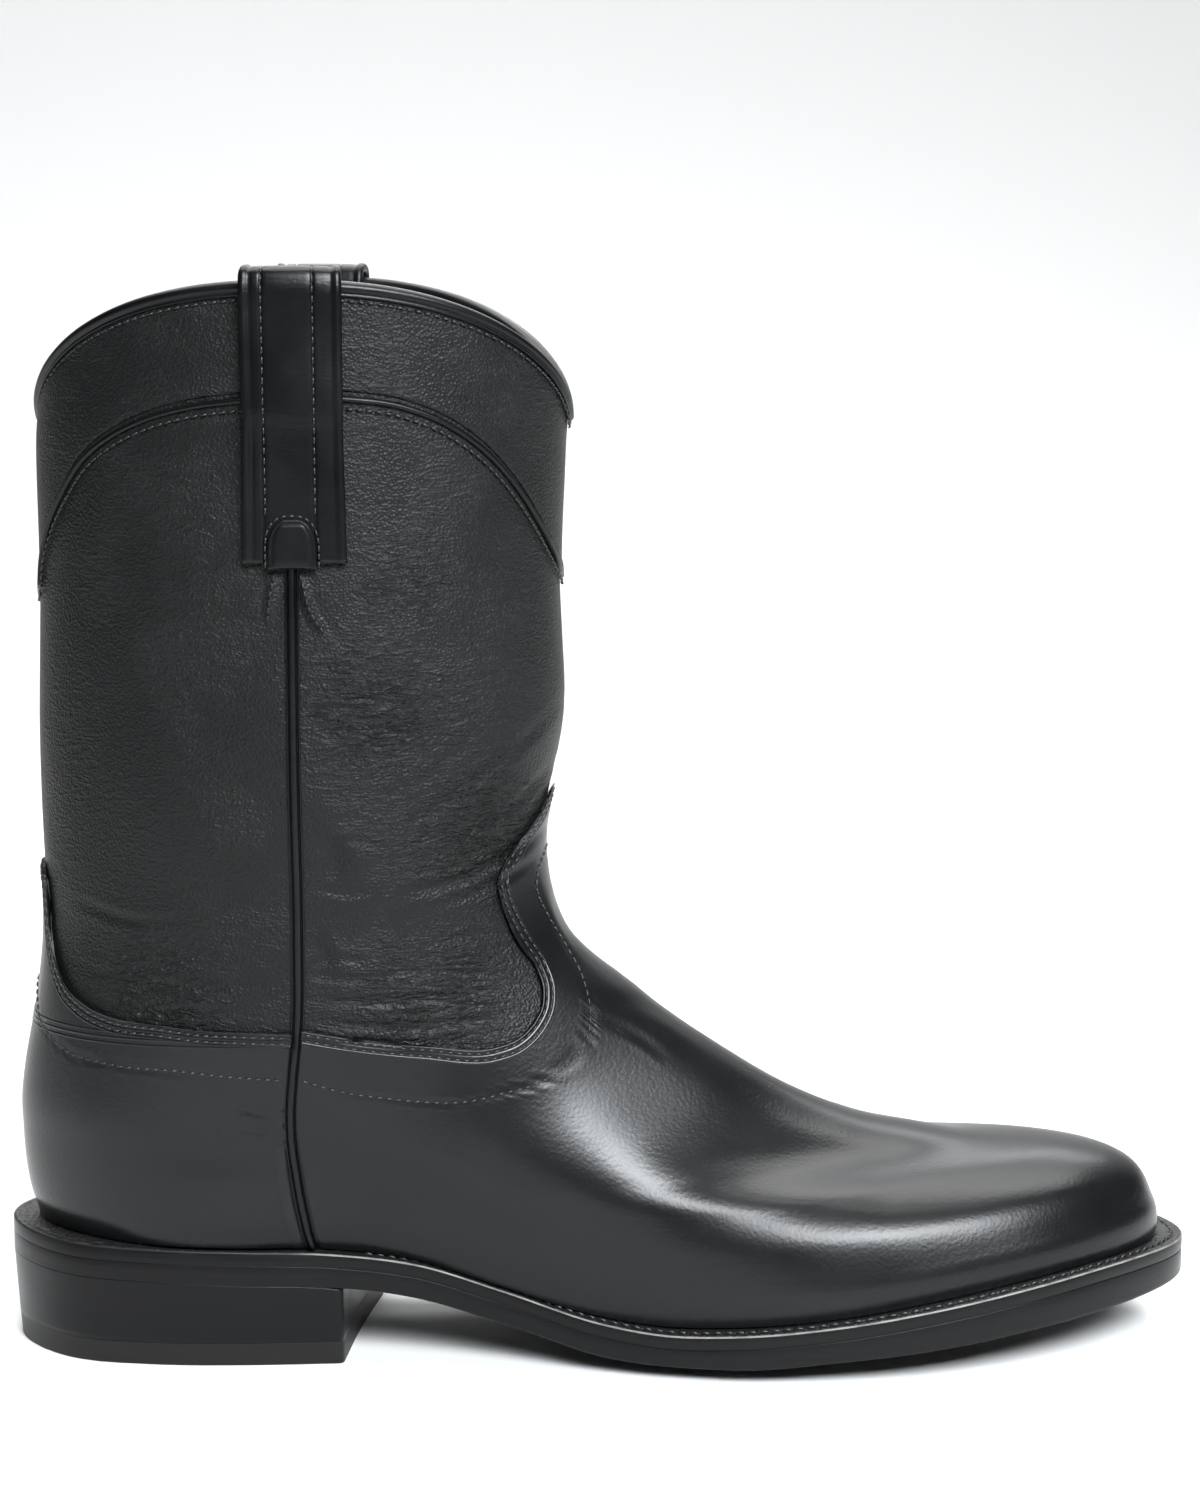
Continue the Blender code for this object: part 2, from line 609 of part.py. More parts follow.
def make_heel(col, mats):
    count = 12
    turn = np.linspace(0, pi / 2, count)
    reach = sole_share(BREAST_X)
    share = reach * (1 - np.cos(turn))
    lateral_y, medial_y = sole_sides(share)

    def outline(inset):
        x = (share - 0.5) * LENGTH
        keep = 1 - inset / (0.32 * BALL_WIDTH)
        back = (share[-1] - share) / share[-1]
        sides = []
        for y in (lateral_y, medial_y):
            skew = BREAST_SLOPE * (y + 0.32 * BALL_WIDTH) * (1 - back) ** 2
            sides.append(np.stack([x + inset * back ** 2 + skew, y * keep], -1))
        sides[0][0] = sides[1][0] = (sides[0][0] + sides[1][0]) / 2
        return sides

    def heel_top(x, c):
        return sole_bottom(x, 0.0) - GAP

    # The block tapers, so its two ends use outlines of their own
    for name, low, high in (("heel_stack", CAP_THICK + GAP, None), ("heel_cap", 0.0, CAP_THICK)):
        levels = []
        for z in (high, low):
            share_down = 0.0 if z is None else 1 - z / (0.62 * SEAT_HEIGHT)
            levels.append((outline(HEEL_TAPER * share_down), z))
        tapered_plate(name, levels, heel_top, col, mats["edge"])


def tapered_plate(name, levels, top, col, mat):
    """Block with a different outline at its top and its bottom."""
    cells = 4
    parts = []
    for (lateral, medial), z in levels:
        rows = []
        for i in range(len(lateral)):
            for j in range(cells + 1):
                c = j / cells
                p = lateral[i] * (1 - c) + medial[i] * c
                rows.append((p[0], p[1], float(top(p[0], c)) if z is None else z))
        parts.append(rows)
    n = len(levels[0][0][0])
    wide = cells + 1
    verts = parts[0] + parts[1]
    size = n * wide
    faces = []
    for i in range(n - 1):
        for j in range(cells):
            quad = (i * wide + j, i * wide + j + 1, (i + 1) * wide + j + 1, (i + 1) * wide + j)
            faces.append(quad)
            faces.append(tuple(size + q for q in quad[::-1]))
        for j in (0, cells):
            a, b = i * wide + j, (i + 1) * wide + j
            faces.append((a, b, size + b, size + a))
    for j in range(cells):
        a, b = (n - 1) * wide + j, (n - 1) * wide + j + 1
        faces.append((a, b, size + b, size + a))
    obj = solid(name, verts, faces, col, mat)
    close_tip(obj)


def close_tip(obj):
    """Weld the points that fall together at the back of the heel."""
    work = bmesh.new()
    work.from_mesh(obj.data)
    bmesh.ops.remove_doubles(work, verts=work.verts, dist=0.00005)
    bmesh.ops.recalc_face_normals(work, faces=work.faces)
    work.to_mesh(obj.data)
    work.free()


def make_insole(col, mats):
    around = places_around(60)[:31]
    edge = form(float(LAST_RING), around, -WALL - 2 * RIM_GAP)[:, :2]
    other = form(float(LAST_RING), 1 - around, -WALL - 2 * RIM_GAP)[:, :2]
    edge[0] = other[0] = (edge[0] + other[0]) / 2
    edge[-1] = other[-1] = (edge[-1] + other[-1]) / 2
    plate("insole", edge, other, lambda x, c: welt_top(x) + RIM_GAP + INSOLE_THICK,
          lambda x, c: welt_top(x) + RIM_GAP, 2, col, mats["lining"])


def centre_on_origin(col):
    """Move every mesh so that the box of the whole boot stands centred on the origin."""
    graph = bpy.context.evaluated_depsgraph_get()
    low = np.full(3, np.inf)
    high = np.full(3, -np.inf)
    for obj in col.objects:
        mesh = obj.evaluated_get(graph).to_mesh()
        points = np.array([v.co for v in mesh.vertices])
        low = np.minimum(low, points.min(0))
        high = np.maximum(high, points.max(0))
    return np.array([-(low[0] + high[0]) / 2, -(low[1] + high[1]) / 2, -low[2]])


def main():
    for obj in list(bpy.data.objects):
        bpy.data.objects.remove(obj, do_unlink=True)
    col = bpy.data.collections.new("roper_boot")
    tools = bpy.data.collections.new("cutters")
    bpy.context.scene.collection.children.link(col)
    bpy.context.scene.collection.children.link(tools)
    mats = {
        "shaft": material("shaft leather", COLOURS["shaft"], 0.5),
        "foot": material("foot leather", COLOURS["foot"], 0.3),
        "edge": material("sole and heel edge", COLOURS["edge"], 0.4),
        "lining": material("lining leather", COLOURS["lining"], 0.7),
    }
    make_upper(col, mats)
    make_overlays(col, tools, mats)
    clearance = shell("upper_clearance", -WALL - GAP, GAP, tools)
    make_cord(col, mats, clearance)
    make_binding(col, mats)
    make_sole(col, mats)
    make_heel(col, mats)
    make_insole(col, mats)
    for side in ("lateral", "medial"):
        make_piping("side_piping_" + side, side == "medial", col, mats, clearance)
        make_strap("pull_strap_" + side, side == "medial", col, mats, clearance)
        make_tab("strap_tab_" + side, side == "medial", col, mats)
    shift = centre_on_origin(col)
    for obj in list(col.objects) + list(tools.objects):
        points = np.array([v.co for v in obj.data.vertices]) + shift
        obj.data.vertices.foreach_set("co", points.ravel())
        obj.data.update()


main()
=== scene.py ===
"""Roper boot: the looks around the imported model. Metres, +Z up, toe to +X, lateral side to -Y."""
from math import pi, radians

import bmesh
import bpy
import numpy as np
from bpy.props import FloatProperty, FloatVectorProperty, PointerProperty
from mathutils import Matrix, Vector


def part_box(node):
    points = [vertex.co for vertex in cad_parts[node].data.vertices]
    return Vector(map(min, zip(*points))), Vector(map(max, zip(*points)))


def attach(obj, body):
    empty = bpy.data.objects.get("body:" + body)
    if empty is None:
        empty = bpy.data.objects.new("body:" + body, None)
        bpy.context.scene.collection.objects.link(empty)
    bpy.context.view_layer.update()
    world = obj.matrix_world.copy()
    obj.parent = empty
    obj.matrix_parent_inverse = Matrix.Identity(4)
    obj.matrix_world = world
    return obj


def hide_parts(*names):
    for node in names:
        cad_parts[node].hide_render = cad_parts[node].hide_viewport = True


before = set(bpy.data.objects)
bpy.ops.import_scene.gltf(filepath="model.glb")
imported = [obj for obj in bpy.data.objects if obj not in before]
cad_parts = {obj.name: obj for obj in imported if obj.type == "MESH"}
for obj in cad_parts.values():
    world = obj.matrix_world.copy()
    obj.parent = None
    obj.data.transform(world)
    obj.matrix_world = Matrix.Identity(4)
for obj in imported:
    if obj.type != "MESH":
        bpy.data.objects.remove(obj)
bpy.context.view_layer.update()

bl_info = {
    "name": "Roper boot",
    "version": (1, 0, 0),
    "blender": (4, 5, 0),
    "location": "View3D > Sidebar > Boot",
    "description": "Leather, seams, sole and stage of a roper boot around its packed model",
    "category": "Add Mesh",
}

MM = 0.001
# How far a panel's underside stands off the form, and how near two points are made one
LAP = 0.00002

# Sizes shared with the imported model
LENGTH = 0.312
HEIGHT = 0.282
SHAFT_WIDTH = 0.091
BALL_WIDTH = 0.1035
SEAT_HEIGHT = 0.0324
WALL = 0.0018
RIM_GAP = 0.0005
WELT_THICK = 0.0037
EDGE_RISE = 0.0038
CAP_THICK = 0.0060
HEEL_TAPER = 0.0016
INSOLE_THICK = 0.0030
STRAP_WIDTH = 0.0240
STRAP_FLARE = 0.0014
STRAP_THICK = 0.0024
BREAST_X = -0.213 * LENGTH
BREAST_SLOPE = 0.107

# Sole by station: share of length, lateral and medial width, centre shift (of BALL_WIDTH),
# welt top and sole bottom height (of SEAT_HEIGHT)
SOLE_ROWS = np.array([
    (0.00, 1.082, 1.082, 0.000, 1.000, 0.728),
    (0.04, 1.130, 1.130, 0.000, 0.991, 0.722),
    (0.12, 0.957, 0.928, 0.000, 0.972, 0.704),
    (0.20, 0.807, 0.787, 0.000, 0.954, 0.673),
    (0.28, 0.688, 0.667, 0.000, 0.923, 0.636),
    (0.35, 0.638, 0.580, 0.000, 0.833, 0.500),
    (0.42, 0.660, 0.566, 0.000, 0.642, 0.272),
    (0.50, 0.769, 0.676, 0.000, 0.438, 0.040),
    (0.55, 0.848, 0.795, 0.000, 0.383, 0.000),
    (0.61, 0.938, 0.945, 0.003, 0.402, 0.000),
    (0.70, 1.043, 1.116, 0.010, 0.497, 0.083),
    (0.78, 1.106, 1.235, 0.017, 0.611, 0.157),
    (0.86, 1.128, 1.306, 0.028, 0.719, 0.243),
    (0.92, 1.100, 1.290, 0.036, 0.778, 0.295),
    (0.96, 1.050, 1.225, 0.043, 0.790, 0.322),
    (1.00, 0.990, 1.110, 0.048, 0.784, 0.350),
])

# Upper by ring, collar first: back x, back z, front x, front z, arch of the ring, how far it follows
# the welt, lean, then widths at heel, ankle, waist, ball and toe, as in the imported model
UPPER_ROWS = np.array([
    (-0.4576, 0.8644, -0.0279, 0.8644, 0.1193, 0.00, 0.000, *[1.000] * 8),
    (-0.4630, 0.8191, -0.0305, 0.8191, 0.0740, 0.00, 0.000, *[1.000] * 8),
    (-0.4630, 0.7270, -0.0335, 0.7270, 0.0390, 0.00, 0.000, *[0.989] * 8),
    (-0.4660, 0.6241, -0.0310, 0.6170, 0.0140, 0.00, 0.000, *[0.967] * 8),
    (-0.4665, 0.5248, -0.0445, 0.5140, 0.0000, 0.00, 0.000,
     0.912, 0.934, 0.929, 0.929, 0.923, 0.923, 0.901, 0.901),
    (-0.4654, 0.4504, -0.0474, 0.4504, 0.0000, 0.00, 0.000,
     0.868, 0.885, 0.879, 0.879, 0.868, 0.868, 0.846, 0.846),
    (-0.4660, 0.3830, -0.0263, 0.3794, 0.0000, 0.02, 0.005,
     0.868, 0.857, 0.835, 0.835, 0.813, 0.813, 0.769, 0.769),
    (-0.4728, 0.3191, 0.0221, 0.3305, 0.0000, 0.07, 0.010,
     0.923, 0.857, 0.802, 0.802, 0.780, 0.780, 0.725, 0.725),
    (-0.4814, 0.2660, 0.1109, 0.2599, 0.0000, 0.14, 0.019,
     0.978, 0.835, 0.780, 0.769, 0.758, 0.758, 0.659, 0.681),
    (-0.4856, 0.2305, 0.1971, 0.2089, 0.0000, 0.24, 0.029,
     1.022, 0.808, 0.775, 0.747, 0.791, 0.791, 0.681, 0.725),
    (-0.4853, 0.2021, 0.3045, 0.1829, 0.0000, 0.36, 0.037,
     1.055, 0.786, 0.780, 0.736, 0.824, 0.868, 0.637, 0.681),
    (-0.4840, 0.1755, 0.4029, 0.1734, 0.0000, 0.52, 0.043,
     1.088, 0.769, 0.791, 0.725, 0.923, 0.989, 0.835, 0.923),
    (-0.4817, 0.1543, 0.4520, 0.1564, 0.0000, 0.72, 0.044,
     1.099, 0.747, 0.797, 0.714, 1.022, 1.099, 1.033, 1.187),
    (-0.4788, 0.1383, 0.4702, 0.1234, 0.0000, 0.88, 0.044,
     1.099, 0.725, 0.797, 0.703, 1.077, 1.176, 1.143, 1.330),
    (-0.4756, 0.1270, 0.4737, 0.1046, 0.0000, 0.95, 0.044,
     1.077, 0.692, 0.786, 0.687, 1.088, 1.192, 1.165, 1.352),
    (-0.4737, 0.1160, 0.4718, 0.0918, 0.0000, 1.00, 0.044,
     1.044, 0.659, 0.775, 0.670, 1.077, 1.176, 1.154, 1.341),
])
WIDTH_SHARES = np.array([0.0, 0.08, 0.3, 0.5, 0.72, 0.92, 1.0])
LATERAL_COLUMNS = [7, 7, 8, 9, 11, 13, 13]
MEDIAL_COLUMNS = [7, 7, 8, 10, 12, 14, 14]
ARCH_POWER = 2.33
ARCH_ROOT = 0.515
LEAN_FROM = 0.3
LAST_RING = len(UPPER_ROWS) - 1

# Seam lines in millimetres on the lateral side view (x, z); the medial side mirrors them
PIPING_LINE = np.array([
    (-75.6, 208.7), (-75.9, 155.8), (-75.9, 115.8), (-76.5, 92.0), (-77.9, 77.6), (-78.6, 68.3),
    (-78.4, 59.2), (-77.5, 50.1), (-76.5, 43.3), (-75.2, 36.5), (-74.0, 30.8),
])
CORD_LINE = np.array([
    (-142.9, 201.0), (-142.2, 206.5), (-139.9, 214.3), (-134.8, 224.5), (-127.9, 234.1), (-119.3, 240.5),
    (-109.4, 244.9), (-99.7, 247.4), (-88.3, 248.9), (-76.0, 249.8), (-63.9, 249.5), (-48.3, 247.3), (-39.1, 243.6),
    (-30.1, 237.3), (-22.5, 228.8), (-16.1, 218.2), (-12.0, 208.5), (-10.4, 203.5),
])
VAMP_LINE = np.array([
    (-75.6, 86.3), (-65.0, 84.2), (-45.5, 81.6), (-26.4, 80.1), (-19.9, 82.0), (-14.5, 86.6),
    (-11.9, 91.7), (-11.7, 96.7), (-14.2, 103.3), (-19.2, 112.4), (-23.0, 121.9), (-23.6, 125.1),
    (-20.1, 132.0), (-15.8, 138.4), (-13.4, 145.6),
])
VAMP_ROW = np.array([
    (-75.9, 77.2), (-65.6, 74.0), (-55.2, 72.3), (-45.3, 71.1), (-34.7, 70.8), (-24.7, 72.6),
    (-15.2, 74.7), (-8.4, 78.5), (-4.0, 83.6), (-3.0, 89.5), (-4.9, 97.1), (-9.8, 105.5),
    (-14.7, 114.4), (-17.5, 123.0), (-15.3, 131.1),
])
COUNTER_LINE = np.array([
    (-144.2, 123.2), (-143.9, 119.5), (-143.7, 114.9), (-143.2, 107.6), (-141.5, 100.3), (-137.9, 93.8),
    (-132.5, 90.1), (-125.3, 87.8), (-111.6, 86.8), (-103.6, 86.0), (-90.0, 85.6), (-79.6, 85.3),
])
COUNTER_ROW = np.array([
    (-147.0, 104.5), (-146.6, 96.7), (-146.1, 91.6), (-144.7, 87.1), (-141.4, 83.9), (-136.1, 81.2), (-128.8, 80.1),
    (-119.2, 79.3), (-111.9, 79.3), (-95.0, 78.0), (-80.8, 77.2),
])

# Legs and crown of a pull strap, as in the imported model
STRAP_OUTER = [(0.743, 0.0), (0.800, 0.0), (0.860, 0.0001), (0.873, 0.0024), (0.895, 0.0024),
               (0.930, 0.0020), (0.960, 0.0027)]
STRAP_FACE = [0.0, 0.0007, 0.00145, 0.0016, 0.0019, 0.0023, 0.0027]
STRAP_INNER = [(0.960, -0.0033), (0.930, -0.0024), (0.870, -0.0022), (0.800, -0.0022)]
STRAP_CROWN = np.array([
    (2.8, 0.8, 5.0, 1.0), (2.6, 1.6, 4.4, 3.1), (1.6, 2.1, 2.5, 4.3), (0.0, 2.2, 0.0, 4.5),
    (-1.8, 2.1, -2.8, 4.3), (-3.0, 1.6, -5.0, 3.1), (-3.4, 0.8, -5.8, 1.0),
]) * MM

# Stitched legs that run down from the strap on both sides of the seam, in millimetres on the side view
LEG_LEFT = np.array([(-79.8, 206.9), (-81.0, 200.2), (-81.7, 194.8)])
LEG_RIGHT = np.array([(-73.6, 206.9), (-70.6, 196.4), (-67.9, 192.1)])

# What every crease's depth is multiplied by, so that it shows as it does in the photo
CREASE_DEPTH = 1.5
# Creases in millimetres: half width, depth (minus is a ridge), the sides it is on (L lateral, B both), and then
# x and z of its points on the side view
CREASES = [
    # Fine level wrinkles of the shaft in front of the side seam
    (0.8, 0.22, "B", -72.0, 187.6, -64.0, 188.8, -56.0, 187.4),
    (0.9, 0.30, "B", -69.1, 183.4, -59.2, 184.2, -49.6, 183.2),
    (0.9, 0.34, "B", -71.0, 175.7, -61.5, 176.7, -51.9, 175.5),
    (0.9, 0.34, "B", -69.5, 168.0, -59.6, 168.9, -44.7, 166.9),
    (0.8, 0.28, "B", -71.4, 159.8, -62.0, 160.7, -52.8, 158.9),
    (0.8, 0.22, "B", -70.8, 150.0, -62.1, 150.8, -54.7, 150.0),
    (0.8, 0.20, "B", -96.0, 196.0, -88.0, 194.6, -81.0, 195.2),
    (0.8, 0.18, "B", -94.0, 168.0, -87.0, 167.0, -80.5, 167.8),
    # Ridges of the legs under the strap, and the wrinkle that ends at the right one
    (0.9, -0.8, "B", *LEG_LEFT.ravel()),
    (0.9, -0.9, "B", *LEG_RIGHT.ravel()),
    (0.9, 0.40, "B", -66.6, 193.6, -64.0, 190.0, -60.0, 187.6),
    # Soft dents beside the seam
    (3.0, 0.55, "L", -70.2, 140.0, -66.4, 135.2, -68.4, 129.4),
    (2.6, 0.50, "L", -73.0, 114.5, -69.4, 108.0, -72.2, 101.9),
    (1.0, 0.30, "B", -70.4, 138.0, -62.0, 139.6, -53.0, 137.0),
    (1.0, 0.30, "B", -72.0, 127.4, -64.0, 125.6, -56.0, 126.2),
    (1.0, 0.30, "B", -73.4, 106.9, -66.0, 108.6, -58.0, 107.4),
    # Slanting wrinkles where the shaft bends into the ankle
    (1.5, 0.42, "B", -11.5, 170.3, -25.3, 157.6, -37.6, 148.6, -50.1, 141.4),
    (1.3, 0.42, "B", -13.0, 154.4, -23.0, 143.8, -35.6, 137.8),
    (1.6, 0.50, "B", -14.7, 138.0, -25.6, 131.0, -38.1, 126.5, -50.4, 124.9),
    (1.3, 0.36, "B", -19.3, 129.5, -30.7, 123.9, -43.1, 121.3),
    (1.2, 0.26, "B", -30.0, 167.0, -40.0, 157.0, -51.0, 151.0),
    (1.0, 0.26, "B", -22.0, 112.0, -32.0, 112.8, -44.0, 110.6),
    # Band of level wrinkles above the vamp and the counter
    (1.1, 0.34, "B", -74.0, 104.7, -63.2, 103.1, -45.6, 104.6),
    (1.2, 0.42, "B", -73.0, 98.2, -60.6, 96.9, -43.3, 97.3, -25.6, 98.2),
    (1.2, 0.42, "B", -72.5, 92.4, -58.2, 90.7, -38.2, 90.6, -21.5, 92.6),
    (0.9, 0.26, "B", -67.6, 87.6, -50.6, 86.3, -31.7, 87.0),
    (1.3, 0.30, "B", -133.0, 104.0, -116.0, 100.6, -99.0, 101.4, -82.0, 103.0),
    (1.1, 0.28, "B", -128.0, 95.6, -112.0, 93.4, -94.0, 94.2),
    (1.5, 0.26, "B", -134.0, 121.0, -120.0, 117.6, -104.0, 118.4),
    (1.0, 0.34, "L", -93.2, 70.2, -88.1, 68.8, -82.7, 67.5),
    (0.9, 0.22, "L", -92.0, 64.4, -87.0, 63.4, -82.4, 62.8),
    # Creases of the vamp behind the ball, and the folds of the throat
    (1.2, 0.16, "B", -2.6, 88.5, 7.8, 83.8, 17.7, 76.1),
    (1.3, 0.14, "B", 0.1, 92.5, 13.2, 87.8, 26.5, 78.8),
    (1.3, 0.12, "B", 5.3, 95.0, 16.6, 90.4, 29.0, 82.6),
    (1.5, 0.30, "B", -13.2, 121.4, -10.5, 111.7, -6.6, 103.2),
    (1.3, 0.20, "B", -12.4, 117.0, -6.8, 106.3, 2.5, 97.0),
    (1.2, 0.20, "B", -16.4, 128.0, -13.6, 121.0, -11.2, 114.0),
    # Break of the vamp over the ball
    (6.0, 0.20, "B", 63.1, 57.0, 72.4, 50.4, 78.1, 42.1),
    (5.0, 0.10, "B", 50.2, 59.8, 60.5, 51.6, 64.4, 43.5),
]


def linear(text):
    """Linear colour of an sRGB hex colour."""
    parts = np.array([int(text[i:i + 2], 16) for i in (0, 2, 4)]) / 255
    low = parts / 12.92
    high = ((parts + 0.055) / 1.055) ** 2.4
    return tuple(float(v) for v in np.where(parts <= 0.04045, low, high))


# Curves through rows

def cubic_slopes(knots, values):
    """Slope at each knot of the smooth curve through the values: the two neighbouring slopes, weighted by the steps."""
    step = np.diff(knots)
    slope = np.diff(values, axis=-1) / step
    share = step[1:] / (step[1:] + step[:-1])
    out = np.zeros(values.shape)
    out[..., 0] = slope[..., 0]
    out[..., -1] = slope[..., -1]
    out[..., 1:-1] = share * slope[..., :-1] + (1 - share) * slope[..., 1:]
    return out


def blend_at(at, knots):
    """Knot before each place asked for, the share of the way to the next one, and the step between the two."""
    at = np.clip(at, knots[0], knots[-1])
    index = np.clip(np.searchsorted(knots, at, side="right") - 1, 0, len(knots) - 2)
    step = knots[index + 1] - knots[index]
    return index, (at - knots[index]) / step, step


def curve(at, knots, values):
    """Cubic curve through one row of values, at the places asked for."""
    slopes = cubic_slopes(knots, values)
    index, t, step = blend_at(at, knots)
    first = values[index] * (2 * t**3 - 3 * t**2 + 1)
    second = values[index + 1] * (3 * t**2 - 2 * t**3)
    bend = slopes[index] * (t**3 - 2 * t**2 + t) + slopes[index + 1] * (t**3 - t**2)
    return first + second + step * bend


def curves(at, knots, values):
    """The same, with a row of values of its own for every place."""
    slopes = cubic_slopes(knots, values)
    index, t, step = blend_at(at, knots)

    def pick(table, i):
        return np.take_along_axis(table, i[..., None], -1)[..., 0]

    first = pick(values, index) * (2 * t**3 - 3 * t**2 + 1)
    second = pick(values, index + 1) * (3 * t**2 - 2 * t**3)
    bend = pick(slopes, index) * (t**3 - 2 * t**2 + t) + pick(slopes, index + 1) * (t**3 - t**2)
    return first + second + step * bend


def run_along(points):
    """Distance run along a path, at each of its points."""
    return np.concatenate([[0], np.cumsum(np.linalg.norm(np.diff(points, axis=0), axis=1))])


def even_steps(loop, count):
    """Points at even steps round a closed plan loop."""
    closed = np.concatenate([loop, loop[:1]])
    run = run_along(closed)
    at = np.arange(count) / count * run[-1]
    return np.stack([np.interp(at, run, closed[:, 0]), np.interp(at, run, closed[:, 1])], -1)


def smooth_step(low, high, value):
    """0 below low, 1 above high, and a soft S between."""
    t = np.clip((value - low) / (high - low), 0, 1)
    return t * t * (3 - 2 * t)


# The sole's sizes

def sole_column(x, number):
    return curve(np.asarray(x) / LENGTH + 0.5, SOLE_ROWS[:, 0], SOLE_ROWS[:, number])


def welt_top(x):
    """Height of the welt's top at a place along the boot."""
    return sole_column(x, 4) * SEAT_HEIGHT


def sole_bottom(x, across):
    """Height of the sole's underside: flat in the middle, and rising to both edges in front of the heel."""
    centre = np.maximum(sole_column(x, 5) * SEAT_HEIGHT, 0.0)
    fade = np.clip((np.asarray(x) + 0.225 * LENGTH) / (0.19 * LENGTH), 0, 1)
    return centre + EDGE_RISE * fade * np.clip((np.abs(across) - 0.34) / 0.66, 0, 1) ** 1.6


def sole_sides(share):
    """Lateral and medial y of the sole's edge: the root of share times (1 - share), times a width by station."""
    knots = SOLE_ROWS[:, 0]
    swell = np.sqrt(np.clip(share * (1 - share), 0, None)) * BALL_WIDTH
    shift = curve(share, knots, SOLE_ROWS[:, 3]) * BALL_WIDTH
    lateral = shift - curve(share, knots, SOLE_ROWS[:, 1]) * swell
    medial = shift + curve(share, knots, SOLE_ROWS[:, 2]) * swell
    return lateral, medial


# The upper's form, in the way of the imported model

def ring_row(ring, number):
    return curve(ring, np.arange(len(UPPER_ROWS), dtype=float), UPPER_ROWS[:, number])


def base(ring, around):
    """Point on the upper's outer face. A ring runs 0 at the back, lateral side first, 0.5 at the front:
    x goes from the ring's back to its front by a cosine, y out to its width by a sine."""
    ring, around = np.broadcast_arrays(np.asarray(ring, float), np.asarray(around, float) % 1)
    share = (1 - np.cos(2 * pi * around)) / 2
    back_x = ring_row(ring, 0) * LENGTH
    front_x = ring_row(ring, 2) * LENGTH
    x = back_x + (front_x - back_x) * share
    level = ((1 - share) * ring_row(ring, 1) + share * ring_row(ring, 3)) * HEIGHT
    chord = (1 - share) * welt_top(back_x) + share * welt_top(front_x)
    z = level + ring_row(ring, 5) * (welt_top(x) - chord)
    z = np.where(ring >= LAST_RING, welt_top(x) + RIM_GAP, z)
    arch = np.clip(1 - np.abs(2 * share - 1) ** ARCH_POWER, 0, 1) ** ARCH_ROOT
    z = z + ring_row(ring, 4) * HEIGHT * arch
    lateral = np.stack([ring_row(ring, n) for n in LATERAL_COLUMNS], -1)
    medial = np.stack([ring_row(ring, n) for n in MEDIAL_COLUMNS], -1)
    widths = np.where((around <= 0.5)[..., None], lateral, medial)
    width = curves(share, WIDTH_SHARES, widths) * SHAFT_WIDTH
    lean = ring_row(ring, 6) * BALL_WIDTH * np.clip((share - LEAN_FROM) / (1 - LEAN_FROM), 0, 1) ** 1.5
    y = lean - width * np.sin(2 * pi * around) / 2
    return np.stack([x, y, z], -1)


def outward(ring, around):
    """Direction out of the face: the cross product of its two slopes, made level at both rims."""
    ring, around = np.broadcast_arrays(np.asarray(ring, float), np.asarray(around, float))
    e = 1e-3
    low = np.clip(ring - e, 0, LAST_RING - 1e-6)
    high = np.clip(ring + e, 0, LAST_RING - 1e-6)
    here = np.minimum(ring, LAST_RING - 1e-6)
    n = np.cross(base(high, around) - base(low, around), base(here, around + e) - base(here, around - e))
    n /= np.linalg.norm(n, axis=-1, keepdims=True)
    n[..., 2] *= np.clip((LAST_RING - ring) / 1.5, 0, 1) * np.clip(ring / 0.5, 0, 1)
    return n / np.linalg.norm(n, axis=-1, keepdims=True)


def place_around(ring, x):
    """Place around the ring, on its lateral half, that has this x."""
    back_x = ring_row(ring, 0) * LENGTH
    front_x = ring_row(ring, 2) * LENGTH
    return np.arccos(1 - 2 * np.clip((x - back_x) / (front_x - back_x), 0, 1)) / (2 * pi)


def locate(x, z):
    """Ring and place around of the lateral point with this x and z, by halving."""
    x = np.asarray(x, float)
    low = np.zeros(x.shape)
    high = np.full(x.shape, LAST_RING - 1e-6)
    for _ in range(32):
        ring = (low + high) / 2
        above = base(ring, place_around(ring, x))[..., 2] > z
        low = np.where(above, ring, low)
        high = np.where(above, high, ring)
    return ring, place_around(ring, x)


def along_line(line, count):
    """Ring and place around at even steps along a seam line given in millimetres."""
    run = run_along(line)
    at = np.linspace(0, 1, count) * run[-1]
    return locate(curve(at, run, line[:, 0]) * MM, curve(at, run, line[:, 1]) * MM)


def relief(p):
    """How far the leather stands out of the form at each point: a slow unevenness, the swell low on the front of
    the shaft, and the listed creases."""
    x, y, z = (p[..., i] / MM for i in range(3))
    out = 0.10 * np.sin(x / 7.3 + 1.7 * np.sin(z / 19)) * np.sin(z / 9.1 + 1.3 * np.sin(y / 13 + x / 31))
    out += 0.16 * np.sin(x / 17 + y / 21 + 0.6) * np.sin(z / 15 - y / 33 + 1.1 * np.sin(x / 27))
    out *= smooth_step(28, 46, z) * (1 - 0.7 * smooth_step(244, 262, z))
    out += 1.1 * np.exp(-((z - 161) / 14) ** 2) * smooth_step(-42, -14, x)
    rows = [(0.6, 0.15, "B", *row.ravel()) for row in (VAMP_ROW, COUNTER_ROW)]
    for wide, deep, side, *line in CREASES + rows:
        out += crease(x, y, z, np.array(line).reshape(-1, 2), wide, deep, side)
    return out * MM


